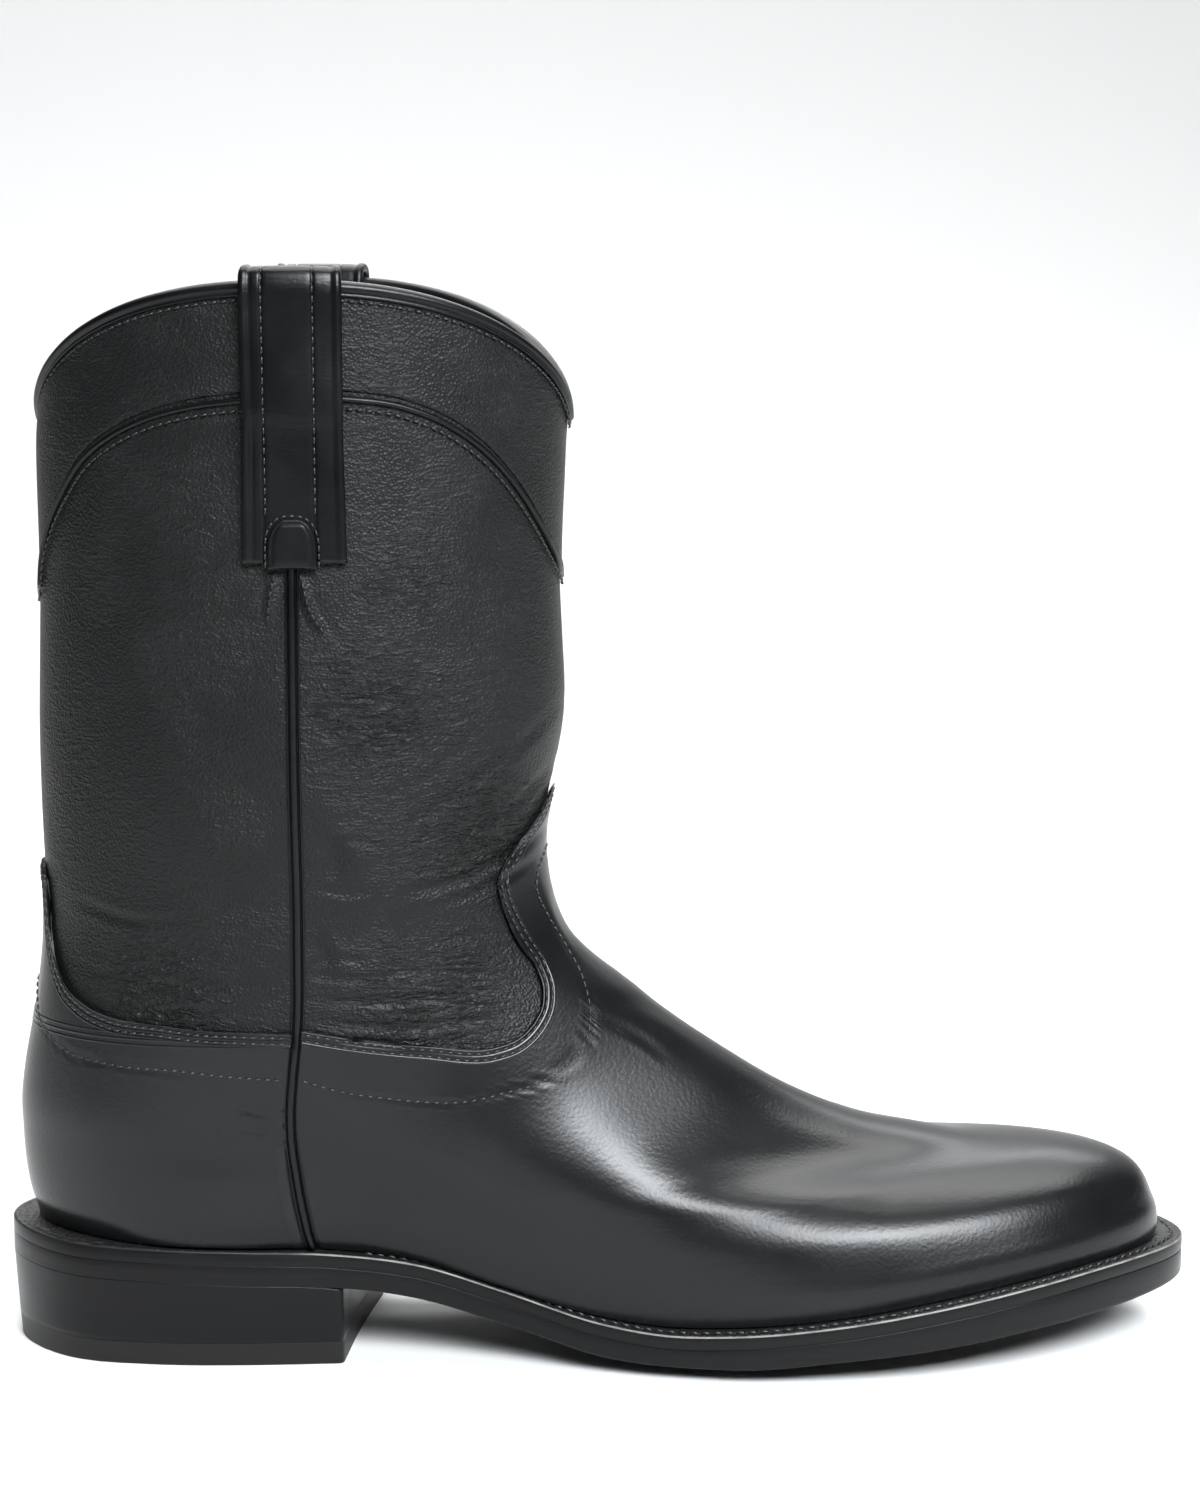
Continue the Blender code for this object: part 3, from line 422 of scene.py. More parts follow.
def crease(x, y, z, line, wide, deep, side):
    """Trough of depth deep along the line, with a ridge of a third of that on both sides. It fades to both ends."""
    near = (x > line[:, 0].min() - 5 * wide) & (x < line[:, 0].max() + 5 * wide)
    near &= (z > line[:, 1].min() - 5 * wide) & (z < line[:, 1].max() + 5 * wide)
    if side == "L":
        near &= y < 8
    out = np.zeros(x.shape)
    if not near.any():
        return out
    q = np.stack([x[near], z[near]], -1)
    run = run_along(line)
    fine = np.linspace(0, run[-1], max(8, int(run[-1] / 1.5)))
    path = np.stack([curve(fine, run, line[:, 0]), curve(fine, run, line[:, 1])], -1)
    best = np.full(len(q), 1e9)
    share = np.zeros(len(q))
    for i in range(len(path) - 1):
        a, b = path[i], path[i + 1]
        t = np.clip((q - a) @ (b - a) / ((b - a) @ (b - a)), 0, 1)
        d = np.linalg.norm(q - a - t[:, None] * (b - a), axis=1)
        closer = d < best
        best = np.where(closer, d, best)
        share = np.where(closer, (i + t) / (len(path) - 1), share)
    fade = np.sin(pi * np.clip(share, 0.02, 0.98)) ** 0.7
    d = best / wide
    out[near] = CREASE_DEPTH * deep * fade * (0.35 * np.exp(-((d - 1.7) / 0.8) ** 2) - np.exp(-d ** 2))
    return out


def form(ring, around, out):
    """Point at a distance out of the leather's face, its creases included."""
    p = base(ring, around)
    n = outward(ring, around)
    out = np.broadcast_to(out, n.shape[:-1]) + relief(p)
    return p + n * out[..., None]


def shifted(ring, around, across, side=1):
    """Ring and place around at a distance across from a path on the form, to its left (side 1) or right (side -1).
    It solves the two slopes of the form for the step that goes straight across the path."""
    ring, around = np.asarray(ring, float), np.asarray(around, float)
    e = 2e-3
    p = base(ring, around)
    down = (base(ring + e, around) - base(ring - e, around)) / (2 * e)
    along = (base(ring, around + e) - base(ring, around - e)) / (2 * e)
    ahead = np.gradient(p, axis=0)
    n = np.cross(down, along)
    step = np.cross(n, ahead)
    step *= side * across / np.linalg.norm(step, axis=-1, keepdims=True)
    dd = (down * down).sum(-1)
    aa = (along * along).sum(-1)
    da = (down * along).sum(-1)
    sd = (step * down).sum(-1)
    sa = (step * along).sum(-1)
    det = dd * aa - da * da
    return ring + (sd * aa - sa * da) / det, around + (sa * dd - sd * da) / det


def over_front(ring, around):
    """Path over the front: the lateral half, its middle at 0.5, and the mirror of the half."""
    ring, around = ring[around < 0.496], around[around < 0.496]
    return np.concatenate([ring, [ring[-1]], ring[::-1]]), np.concatenate([around, [0.5], 1 - around[::-1]])


def over_back(ring, around):
    """Path over the back: the lateral half from its side, its middle at 0, and the mirror of the half."""
    ring, around = ring[around > 0.004], around[around > 0.004]
    return np.concatenate([ring[::-1], [ring[0]], ring]), np.concatenate([around[::-1], [0.0], -around])


# Mesh building

SHIFT = np.array([0.0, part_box("welt")[0].y - sole_sides(np.linspace(0.02, 0.98, 400))[0].min(), 0.0])


def grid_faces(rows, columns, closed_rows=False, closed_columns=False):
    """Quads between neighbouring points of a grid."""
    i = np.arange(rows if closed_rows else rows - 1)[:, None]
    j = np.arange(columns if closed_columns else columns - 1)[None]
    k = (j + 1) % columns
    m = (i + 1) % rows
    corners = [i * columns + j, i * columns + k, m * columns + k, m * columns + j]
    return np.stack(np.broadcast_arrays(*corners), -1).reshape(-1, 4)


def add_piece(name, points, faces, finish, nodes=(), more=(), weld=0.0):
    """Closed mesh object from points and faces. More is (finish, first face) for each part with its own finish."""
    mesh = bpy.data.meshes.new(name)
    mesh.from_pydata((points.reshape(-1, 3) + SHIFT).tolist(), [], faces)
    mesh.materials.append(finish)
    index = np.zeros(len(mesh.polygons), np.int32)
    for other, start in more:
        mesh.materials.append(other)
        index[start:] += 1
    mesh.polygons.foreach_set("material_index", index)
    work = bmesh.new()
    work.from_mesh(mesh)
    if weld:
        bmesh.ops.remove_doubles(work, verts=work.verts, dist=weld)
    bmesh.ops.recalc_face_normals(work, faces=work.faces)
    work.to_mesh(mesh)
    work.free()
    mesh.polygons.foreach_set("use_smooth", np.ones(len(mesh.polygons), bool))
    obj = bpy.data.objects.new(name, mesh)
    bpy.context.scene.collection.objects.link(obj)
    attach(obj, "root")
    if nodes:
        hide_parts(*nodes)
    return obj


def slab(name, ring, around, out, low, picks, closed, finish, nodes=(), inside=None):
    """Sheet of leather: a fine top face at out, an underside at low on the picked rows, and walls between the two.
    Its underside may have a finish of its own."""
    rows, columns = ring.shape
    top = form(ring, around, out)
    under = form(ring[picks], around[picks], low)
    start = rows * columns
    faces = grid_faces(rows, columns, False, closed).tolist()
    last = len(picks) - 1
    wrap = columns if closed else columns - 1
    for row, pick in ((0, 0), (rows - 1, last)):
        j = np.arange(wrap)
        k = (j + 1) % columns
        faces += np.stack([row * columns + j, row * columns + k, start + pick * columns + k,
                           start + pick * columns + j], -1).tolist()
    if not closed:
        for j in (0, columns - 1):
            for i in range(last):
                edge = [r * columns + j for r in range(picks[i], picks[i + 1] + 1)]
                faces.append(edge + [start + (i + 1) * columns + j, start + i * columns + j])
    first = len(faces)
    faces += (grid_faces(len(picks), columns, False, closed) + start).tolist()
    points = np.concatenate([top.reshape(-1, 3), under.reshape(-1, 3)])
    more = [] if inside is None else [(inside, first)]
    return add_piece(name, points, faces, finish, nodes, more)


def along_path(points, normals, section, closed):
    """Section points (across, out) carried along a path, square to it."""
    ahead = np.gradient(points, axis=0)
    if closed:
        ahead = np.roll(points, -1, 0) - np.roll(points, 1, 0)
    across = np.cross(normals, ahead)
    across /= np.linalg.norm(across, axis=-1, keepdims=True)
    return points[:, None] + across[:, None] * section[None, :, :1] + normals[:, None] * section[None, :, 1:]


def swept(name, loops, closed, finish, nodes=()):
    """Closed solid from section loops, with flat ends where the path is open."""
    count, wide = loops.shape[:2]
    faces = grid_faces(count, wide, closed, True).tolist()
    if not closed:
        faces += [list(range(wide)), list(range((count - 1) * wide, count * wide))]
    return add_piece(name, loops, faces, finish, nodes)


def bead(count, wide, high, low, power=2.0):
    """Half round section from one side over the top to the other, closed underneath."""
    t = np.linspace(0, pi, count)
    side = -np.cos(t) * wide / 2
    top = low + (high - low) * np.abs(np.sin(t)) ** (2 / power)
    return np.stack([side, top], -1)


# Materials

def add(tree, kind, **values):
    """One shader node: its settings, and its inputs by name or by number (i0, i1 ...), from a value or a socket."""
    node = tree.nodes.new(kind)
    for key, value in values.items():
        if hasattr(node, key):
            setattr(node, key, value)
            continue
        socket = node.inputs[int(key[1:])] if key[1:].isdigit() else node.inputs[key.replace("_", " ")]
        if isinstance(value, bpy.types.NodeSocket):
            tree.links.new(value, socket)
        else:
            socket.default_value = value
    return node


def new_finish(name, make=None, **fixed):
    """Material with its main shader. Fixed values go straight on the shader's own sockets. Make, where there is one,
    gets the node tree and the place on the object. It gives the share between two tones, both tones, the bumps as
    (height, strength, distance) from coarse to fine, and the roughness where that isn't one value."""
    finish = bpy.data.materials.new(name)
    finish.use_nodes = True
    tree = finish.node_tree
    shader = tree.nodes["Principled BSDF"]
    for key, value in fixed.items():
        shader.inputs[key.replace("_", " ")].default_value = value
    if make is None:
        return finish
    share, dark, light, bumps, *rough = make(tree, add(tree, "ShaderNodeTexCoord").outputs["Object"])
    tone = add(tree, "ShaderNodeMix", data_type="RGBA", i0=share, i6=(*dark, 1), i7=(*light, 1)).outputs[2]
    tree.links.new(tone, shader.inputs["Base Color"])
    below = {}
    for height, strength, distance in bumps:
        bump = add(tree, "ShaderNodeBump", Height=height, Strength=strength, Distance=distance, **below).outputs[0]
        below = {"Normal": bump}
    for socket, output in [*below.items(), *(("Roughness", value) for value in rough)]:
        tree.links.new(output, shader.inputs[socket])
    return finish


def colours():
    return bpy.context.scene.boot_colours


def sizes():
    return bpy.context.scene.boot_sizes


def grained_leather(tree, at):
    """Grained calf, drum dyed black and left unpolished. The pebbles, a little under 1 mm, give a matte, finely
    speckled face, and the fine wrinkles across the shaft catch the light as short level lines."""
    cloud = add(tree, "ShaderNodeTexNoise", Vector=at, Scale=55, Detail=3).outputs["Fac"]
    pebble = add(tree, "ShaderNodeTexVoronoi", feature="SMOOTH_F1", Vector=at, Scale=1 / sizes().pebble,
                 Smoothness=0.5).outputs["Distance"]
    fine = add(tree, "ShaderNodeTexNoise", Vector=at, Scale=2400, Detail=2).outputs["Fac"]
    # Patches of wrinkles beside the seam and over the ankle, as places on the side view
    side = add(tree, "ShaderNodeMapping", Vector=at, Scale=(1, 0, 1)).outputs[0]
    patch = 0.0
    for place, reach in (((-0.056, 0, 0.172), 0.026), ((-0.042, 0, 0.094), 0.026), ((-0.030, 0, 0.138), 0.022),
                         ((-0.110, 0, 0.097), 0.022), ((-0.048, 0, 0.205), 0.016)):
        gap = add(tree, "ShaderNodeVectorMath", operation="DISTANCE", i0=side, i1=place).outputs["Value"]
        near = add(tree, "ShaderNodeMapRange", i0=gap, i1=reach, i2=reach * 0.3).outputs[0]
        patch = add(tree, "ShaderNodeMath", operation="MAXIMUM", i0=patch, i1=near).outputs[0]
    # Wrinkles are about 2 mm apart and four times as long
    flat = add(tree, "ShaderNodeMapping", Vector=at, Scale=(130, 130, 480)).outputs[0]
    wrinkle = add(tree, "ShaderNodeTexNoise", Vector=flat, Scale=1, Detail=3, Distortion=2.2).outputs["Fac"]
    ridge = add(tree, "ShaderNodeMapRange", i0=wrinkle, i1=0.44, i2=0.72).outputs[0]
    where = add(tree, "ShaderNodeMapRange", i0=cloud, i1=0.46, i2=0.60, i3=0.05, i4=1.0).outputs[0]
    soft = add(tree, "ShaderNodeMath", operation="MULTIPLY", i0=ridge, i1=where).outputs[0]
    deep = add(tree, "ShaderNodeMath", operation="MULTIPLY", i0=ridge, i1=patch).outputs[0]
    bumps = [(deep, 1.0, 0.0005), (soft, 0.5, 0.0005), (pebble, 0.55, 0.0004), (fine, 0.2, 0.0002)]
    rough = add(tree, "ShaderNodeMapRange", i0=cloud, i1=0.3, i2=0.7, i3=0.40, i4=0.50).outputs[0]
    return cloud, colours().shaft, colours().shaft_light, bumps, rough


def polished_leather(tree, at):
    """Smooth full grain calf, waxed and brushed: a broad clear shine over a faint pore, a little duller in patches."""
    cloud = add(tree, "ShaderNodeTexNoise", Vector=at, Scale=45, Detail=4).outputs["Fac"]
    pore = add(tree, "ShaderNodeTexNoise", Vector=at, Scale=1300, Detail=2).outputs["Fac"]
    pebble = add(tree, "ShaderNodeTexVoronoi", feature="SMOOTH_F1", Vector=at, Scale=900, Smoothness=0.7)
    bumps = [(pebble.outputs["Distance"], 0.14, 0.0002), (pore, 0.16, 0.0002)]
    rough = add(tree, "ShaderNodeMapRange", i0=cloud, i1=0.3, i2=0.7, i3=0.28, i4=0.35).outputs[0]
    return cloud, colours().foot, colours().foot_light, bumps, rough


def strap_leather(tree, at):
    """Smooth calf strip, folded and pressed: darker and shinier than the shaft, with fine wrinkles across it."""
    cloud = add(tree, "ShaderNodeTexNoise", Vector=at, Scale=70, Detail=3).outputs["Fac"]
    # Wrinkles are about 1.2 mm apart along the strap
    flat = add(tree, "ShaderNodeMapping", Vector=at, Scale=(110, 110, 650)).outputs[0]
    wrinkle = add(tree, "ShaderNodeTexNoise", Vector=flat, Scale=1, Detail=2, Distortion=1.0).outputs["Fac"]
    pore = add(tree, "ShaderNodeTexNoise", Vector=at, Scale=1500, Detail=2).outputs["Fac"]
    rough = add(tree, "ShaderNodeMapRange", i0=cloud, i1=0.3, i2=0.7, i3=0.28, i4=0.40).outputs[0]
    return cloud, linear("060607"), colours().foot, [(wrinkle, 0.2, 0.0003), (pore, 0.15, 0.0002)], rough


def lining_leather(tree, at):
    """Soft black lining, unfinished: matte, nearly no shine, with a loose nap."""
    nap = add(tree, "ShaderNodeTexNoise", Vector=at, Scale=900, Detail=3).outputs["Fac"]
    cloud = add(tree, "ShaderNodeTexNoise", Vector=at, Scale=40, Detail=2).outputs["Fac"]
    return cloud, colours().lining, linear("1c1a19"), [(nap, 0.3, 0.0003)]


def inked_edge(tree, at):
    """Stacked leather edge, sanded, inked and burnished: fine level streaks along the sole under a satin wax."""
    # Streaks are about 0.4 mm high and 15 mm long
    flat = add(tree, "ShaderNodeMapping", Vector=at, Scale=(60, 60, 2400)).outputs[0]
    streak = add(tree, "ShaderNodeTexNoise", Vector=flat, Scale=1, Detail=3).outputs["Fac"]
    cloud = add(tree, "ShaderNodeTexNoise", Vector=at, Scale=60, Detail=3).outputs["Fac"]
    rough = add(tree, "ShaderNodeMapRange", i0=cloud, i1=0.3, i2=0.7, i3=0.30, i4=0.42).outputs[0]
    return streak, colours().edge, colours().edge_light, [(streak, 0.22, 0.0003)], rough


def wheeled_ledge(tree, at):
    """Top of the welt, inked and wheeled: matte, with the wheel's small bumps between the stitches."""
    pebble = add(tree, "ShaderNodeTexVoronoi", feature="SMOOTH_F1", Vector=at, Scale=800, Smoothness=0.4)
    cloud = add(tree, "ShaderNodeTexNoise", Vector=at, Scale=300, Detail=3).outputs["Fac"]
    return cloud, linear("0e0e0f"), colours().edge_light, [(pebble.outputs["Distance"], 0.8, 0.0006)]


def painted_corner_highlight(tree, at):
    """Upper corner of the welt in front of the heel: a thin pale line, in patches, painted on as the highlight of its
    rounded edge.
    """
    cloud = add(tree, "ShaderNodeTexNoise", Vector=at, Scale=160, Detail=4).outputs["Fac"]
    highlight_patches = add(tree, "ShaderNodeMapRange", i0=cloud, i1=0.30, i2=0.55, i3=0.35, i4=1.0).outputs[0]
    along = add(tree, "ShaderNodeSeparateXYZ", Vector=at).outputs["X"]
    front = add(tree, "ShaderNodeMapRange", i0=along, i1=-0.080, i2=-0.070).outputs[0]
    painted_highlight = add(tree, "ShaderNodeMath", operation="MULTIPLY", i0=highlight_patches, i1=front).outputs[0]
    return painted_highlight, colours().edge, linear("6e6c69"), []


def top_lift(tree, at):
    """Moulded rubber of the top lift: a little browner and more matte than the block above it."""
    cloud = add(tree, "ShaderNodeTexNoise", Vector=at, Scale=500, Detail=3).outputs["Fac"]
    return cloud, linear("0d0c0b"), linear("161311"), [(cloud, 0.15, 0.0002)]


def waxed_thread(tree, at):
    """Black waxed thread, twisted: a small shine on each stitch, and a lighter tone painted in along the twist as
    sheen.
    """
    twist_and_sheen = add(tree, "ShaderNodeTexNoise", Vector=at, Scale=2500, Detail=1).outputs["Fac"]
    return twist_and_sheen, colours().thread, linear("1c1d1e"), [(twist_and_sheen, 0.3, 0.0001)]


FINISHES = {
    "shaft": ("grained black calf", grained_leather, dict(Specular_IOR_Level=0.20)),
    "foot": ("polished black calf", polished_leather,
             dict(Specular_IOR_Level=0.28, Coat_Weight=0.06, Coat_Roughness=0.18)),
    "strap": ("pressed black calf", strap_leather, dict(Specular_IOR_Level=0.24)),
    "lining": ("black lining leather", lining_leather, dict(Roughness=0.8, Specular_IOR_Level=0.25)),
    "edge": ("inked leather edge", inked_edge,
             dict(Specular_IOR_Level=0.18, Coat_Weight=0.05, Coat_Roughness=0.25)),
    "ledge": ("wheeled welt leather", wheeled_ledge, dict(Roughness=0.5, Specular_IOR_Level=0.5)),
    # The welt corner's pale line is a painted highlight
    "corner": ("welt corner with painted highlight", painted_corner_highlight, dict(Roughness=0.5, Specular_IOR_Level=0.4)),
    "lift": ("black heel rubber", top_lift, dict(Roughness=0.5, Specular_IOR_Level=0.3)),
    "thread": ("waxed black thread", waxed_thread, dict(Roughness=0.42, Specular_IOR_Level=0.5)),
}
made_finishes = {}


def finish_of(name):
    if name not in made_finishes:
        label, make, fixed = FINISHES[name]
        made_finishes[name] = new_finish(label, make, **fixed)
    return made_finishes[name]


# The upper

def make_shaft():
    """Outer face on even rings and places around, with the lining as the underside of the same sheet."""
    ring = np.concatenate([np.linspace(0, 8.8, 200), np.linspace(9.2, LAST_RING, 14)])
    around = np.arange(400) / 400
    ring, around = np.broadcast_arrays(ring[:, None], around[None])
    picks = np.unique(np.concatenate([np.arange(0, 200, 9), np.arange(199, 214)]))
    return slab("shaft", ring, around, 0.0, -WALL, picks, True, finish_of("shaft"),
                ["upper"], finish_of("lining"))


def panel_grid(edge_ring, edge_around, foot_around, inner, steps, rows):
    """Ring and place around of a panel between its stitched edge and the feather line:
    rows at set distances in from the edge, then an even blend down to the welt."""
    near = [shifted(edge_ring, edge_around, d, inner) for d in steps]
    ring = [r for r, _ in near]
    around = [a for _, a in near]
    t = (np.arange(1, rows + 1) / rows)[:, None]
    ring = np.concatenate([np.array(ring), ring[-1] + (LAST_RING - 1e-4 - ring[-1]) * t])
    around = np.concatenate([np.array(around), around[-1] + (foot_around - around[-1]) * t])
    return ring, around


def to_side_seam(ring, around, reach, beside):
    """Places around, moved so that the panel's first and last columns run down beside the side seams: the gap
    between a column and its seam is added, times the square of the share of the panel that lies ahead."""
    seam_ring, seam_around = along_line(PIPING_LINE, 190)
    share = np.linspace(0, 1, ring.shape[1])[None]
    for column, ahead, sign in ((0, share, 1), (-1, 1 - share, -1)):
        seam = np.interp(ring[:, column], seam_ring, seam_around)
        seam = place_around(ring[:, column], base(ring[:, column], seam)[..., 0] + beside * MM)
        wanted = seam if around[0, column] * sign > 0 and around[0, column] < 0.5 else -seam
        wanted = 1 + wanted if around[0, column] > 0.5 else wanted
        gap = (wanted - around[:, column])[:, None]
        around = around + gap * np.clip(1 - ahead / reach, 0, 1) ** 2
    return around


# Millimetres from a panel's side column to the middle of its seam
BESIDE_SEAM = 1.1
# Steps in from a panel's cut edge, and its height there as a share of the leather's thickness
EDGE_STEPS = np.array([0.0, 0.02, 0.12, 0.3, 0.6, 1.0, 1.4, 1.8, 2.4, 3.0, 3.5, 4.2]) * MM
EDGE_RISES = np.array([0.05, 0.55, 0.85, 1.0, 1.10, 1.02, 0.70, 1.02, 1.10, 0.74, 1.06, 1.0])


def make_panel(name, ring, around, inner, rows, reach, node):
    """Foot panel from its stitched edge down to the welt. Its height over the form is rounded up from the cut edge,
    dips at both stitch rows, and then stays at the leather's thickness."""
    # The feather line is shared out so that the panel's columns never cross
    middle = 0.5 if inner == 1 else 0.0
    foot = middle + np.linspace(-1, 1, len(ring)) * (middle - around[0])
    ring, around = panel_grid(ring, around, foot, inner, EDGE_STEPS, rows)
    around = to_side_seam(ring, around, reach, inner * BESIDE_SEAM)
    rise = np.concatenate([EDGE_RISES, np.ones(rows)])
    out = np.broadcast_to((rise * sizes().panel)[:, None], ring.shape)
    picks = np.unique(np.concatenate([np.arange(0, ring.shape[0], 8), [ring.shape[0] - 1]]))
    return slab(name, ring, around, out, LAP, picks, False, finish_of("foot"), [node])


def cord_path(count):
    """Closed path of the raised seam: back, lateral side, front, medial side."""
    ring, around = along_line(CORD_LINE, count)
    keep = (around > 0.004) & (around < 0.496)
    ring, around = ring[keep], around[keep]
    ring = np.concatenate([[ring[0] + 0.05], ring, [ring[-1] + 0.05], ring[::-1]])
    around = np.concatenate([[0.0], around, [0.5], 1 - around[::-1]])
    return ring, around


def make_collar():
    """Band from the rim down to the raised seam: even rows between the two lines."""
    ring, around = cord_path(200)
    share = np.concatenate([np.linspace(0, 0.92, 34), [0.95, 0.975, 0.99, 1.0]])
    grid = (ring - 0.06)[None] * share[:, None]
    around = np.broadcast_to(around[None], grid.shape)
    out = np.broadcast_to(np.concatenate([np.full(36, 0.6), [0.5, 0.3]])[:, None] * MM, grid.shape)
    picks = np.array([0, 8, 16, 24, 33, 37])
    return slab("collar_band", grid, around, out, LAP, picks, True, finish_of("shaft"),
                ["collar"])


def make_cord():
    """Thin bead between the band and the shaft, carried round the boot."""
    ring, around = cord_path(200)
    section = bead(11, 0.0017, 0.0012, -0.0002, 2.4)
    loops = along_path(form(ring, around, 0.0), outward(ring, around), section, True)
    return swept("collar_seam", loops, True, finish_of("strap"), ["collar_cord"])


BINDING = np.array([
    (3.0, 0.7), (2.9, 1.25), (2.6, 1.45), (2.35, 1.35), (2.15, 1.2), (1.95, 1.35), (1.7, 1.75), (1.2, 2.05), (0.6, 2.1),
    (0.0, 1.9), (-0.5, 1.4), (-0.8, 0.6), (-0.9, -0.4), (-0.8, -1.4), (-0.4, -2.1), (0.3, -2.5),
    (1.2, -2.6), (2.2, -2.55), (2.6, -2.2), (2.6, -1.9), (0.6, -1.9), (0.3, 0.2), (2.0, 0.6),
]) * MM


def make_binding():
    """Folded edge over the rim: a round bead, a groove and a flat lower lip, carried round the collar."""
    around = np.arange(420) / 420
    top = form(np.zeros(420), around, 0.0)
    n = outward(np.zeros(420), around)
    loops = top[:, None] + n[:, None] * BINDING[None, :, 1:] + np.array((0, 0, -1.0)) * BINDING[None, :, :1]
    return swept("rim_binding", loops, True, finish_of("strap"), ["top_binding"])


PIPING = np.array([
    (-1.75, -0.1), (-1.75, 0.35), (-1.6, 0.62), (-1.35, 0.66), (-1.15, 0.42), (-1.0, 0.05), (-0.86, 0.5), (-0.78, 1.1),
    (-0.55, 1.5), (-0.25, 1.66), (0.0, 1.7), (0.25, 1.66), (0.55, 1.5), (0.78, 1.1), (0.86, 0.5), (1.0, 0.05),
    (1.15, 0.42), (1.35, 0.66), (1.6, 0.62), (1.75, 0.35), (1.75, -0.1), (0.0, -0.2),
]) * MM


def make_piping(side):
    """Seam strip with a groove on both sides of its bead. It steps up by the panels' thickness where they begin."""
    ring, around = along_line(PIPING_LINE, 220)
    if side == "medial":
        around = 1 - around
    points = form(ring, around, 0.0)
    loops = along_path(points, outward(ring, around), PIPING, False)
    step = smooth_step(0.090, 0.0845, points[:, 2]) * 0.0008
    loops += outward(ring, around)[:, None] * (step[:, None] * (PIPING[:, 1] > 0))[..., None]
    return swept("side_seam_" + side, loops, False, finish_of("strap"), ["side_piping_" + side])


# Straps

# Places across a strap of its two sewn folds
STRAP_FOLDS = (-0.56, 0.43)


def strap_faces(x, medial):
    """Near and far face of a strap along its length, for each place across it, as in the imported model."""
    near, far = [], []

    def at_height(height):
        ring, around = locate(x, np.full(x.shape, height * HEIGHT))
        around = 1 - around if medial else around
        return base(ring, around), outward(ring, around)

    for (height, out), face in zip(STRAP_OUTER, STRAP_FACE):
        p, n = at_height(height)
        near.append(p + n * out)
        far.append(p + n * (face + STRAP_THICK))
    around = place_around(np.zeros(x.shape), x)
    around = 1 - around if medial else around
    rim, n = base(0.0, around), outward(0.0, around)
    for near_out, near_up, far_out, far_up in STRAP_CROWN:
        near.append(rim + n * near_out + (0, 0, near_up))
        far.append(rim + n * far_out + (0, 0, far_up))
    for height, out in STRAP_INNER:
        p, n = at_height(height)
        near.append(p + n * out)
        far.append(p + n * (out - STRAP_THICK))
    return np.array(near), np.array(far)


def strap_section():
    """Loop across a strap as (place across, share of its thickness): flat near face, rolled edges, two fold lines."""
    c = np.concatenate([np.linspace(-0.93, -0.6, 8), np.linspace(-0.585, -0.535, 4), np.linspace(-0.5, 0.37, 14),
                        np.linspace(0.405, 0.455, 4), np.linspace(0.5, 0.93, 9)])
    t = 0.86 + 0.22 * np.exp(-((np.abs(c) - 0.90) / 0.055) ** 2)
    t -= sum(0.16 * np.exp(-((c - fold) / 0.022) ** 2) for fold in STRAP_FOLDS)
    t -= 0.14 * np.exp(-((np.abs(c) - 0.80) / 0.03) ** 2)
    roll = np.linspace(0.15, 0.85, 7) * pi
    right = np.stack([0.93 + 0.07 * np.sin(roll), 0.5 + 0.5 * np.cos(roll)], -1)
    left = np.stack([-0.93 - 0.07 * np.sin(roll[::-1]), 0.5 + 0.5 * np.cos(roll[::-1])], -1)
    under = np.linspace(0.9, -0.9, 12)
    return np.concatenate([np.stack([c, t], -1), right, np.stack([under, 0.03 + 0 * under], -1), left])


def make_strap(side):
    """The section's points blended between both faces, at even steps along the strap."""
    section = strap_section()
    middle = (PIPING_LINE[0, 0] + 0.8) * MM
    across = section[:, 0]
    near, far = strap_faces(middle + across * STRAP_WIDTH / 2, side == "medial")
    rows = len(near)
    legs = np.array([h for h, _ in STRAP_OUTER])
    flare = np.concatenate([np.clip((legs[3] - legs) / (legs[3] - legs[0]), 0, 1), np.zeros(rows - len(legs))])
    share = section[:, 1][None, :, None]
    loops = near + (far - near) * share
    loops[:, :, 0] += across[None] * flare[:, None] * STRAP_FLARE / 2
    knots = run_along(loops.mean(1))
    at = np.linspace(0, knots[-1], 130)
    values = np.moveaxis(loops, 0, -1)
    fine = np.stack([curves(np.full(values.shape[:-1], a), knots, values) for a in at])
    return swept("pull_loop_" + side, fine, False, finish_of("strap"), ["pull_strap_" + side])


def strap_line(side, across, share, low, high, count):
    """Path along a strap at one place across it, with its normals, between two shares of the outer leg and crown."""
    x = np.array([(PIPING_LINE[0, 0] + 0.8) * MM + across * STRAP_WIDTH / 2])
    near, far = strap_faces(x, side == "medial")
    points = (near + (far - near) * share)[:, 0]
    knots = run_along(points)
    reach = knots[len(STRAP_OUTER) + 2]
    at = np.linspace(low, high, count) * reach
    path = curves(np.tile(at[:, None], 3), knots, np.broadcast_to(points.T, (count, 3, len(knots))))
    up = far[:, 0] - near[:, 0]
    normal = curves(np.tile(at[:, None], 3), knots, np.broadcast_to(up.T, (count, 3, len(knots))))
    return path, normal / np.linalg.norm(normal, axis=-1, keepdims=True)


def tab_outline(rise):
    """Half width of the patch by its height share: straight sides, then a broad arch with a nearly flat top."""
    return 5.9 * MM * np.clip(1 - np.clip((rise - 0.35) / 0.65, 0, 1) ** 2.6, 0, 1) ** (1 / 2.3)


TAB_LOW, TAB_TALL = 207.9, 12.6


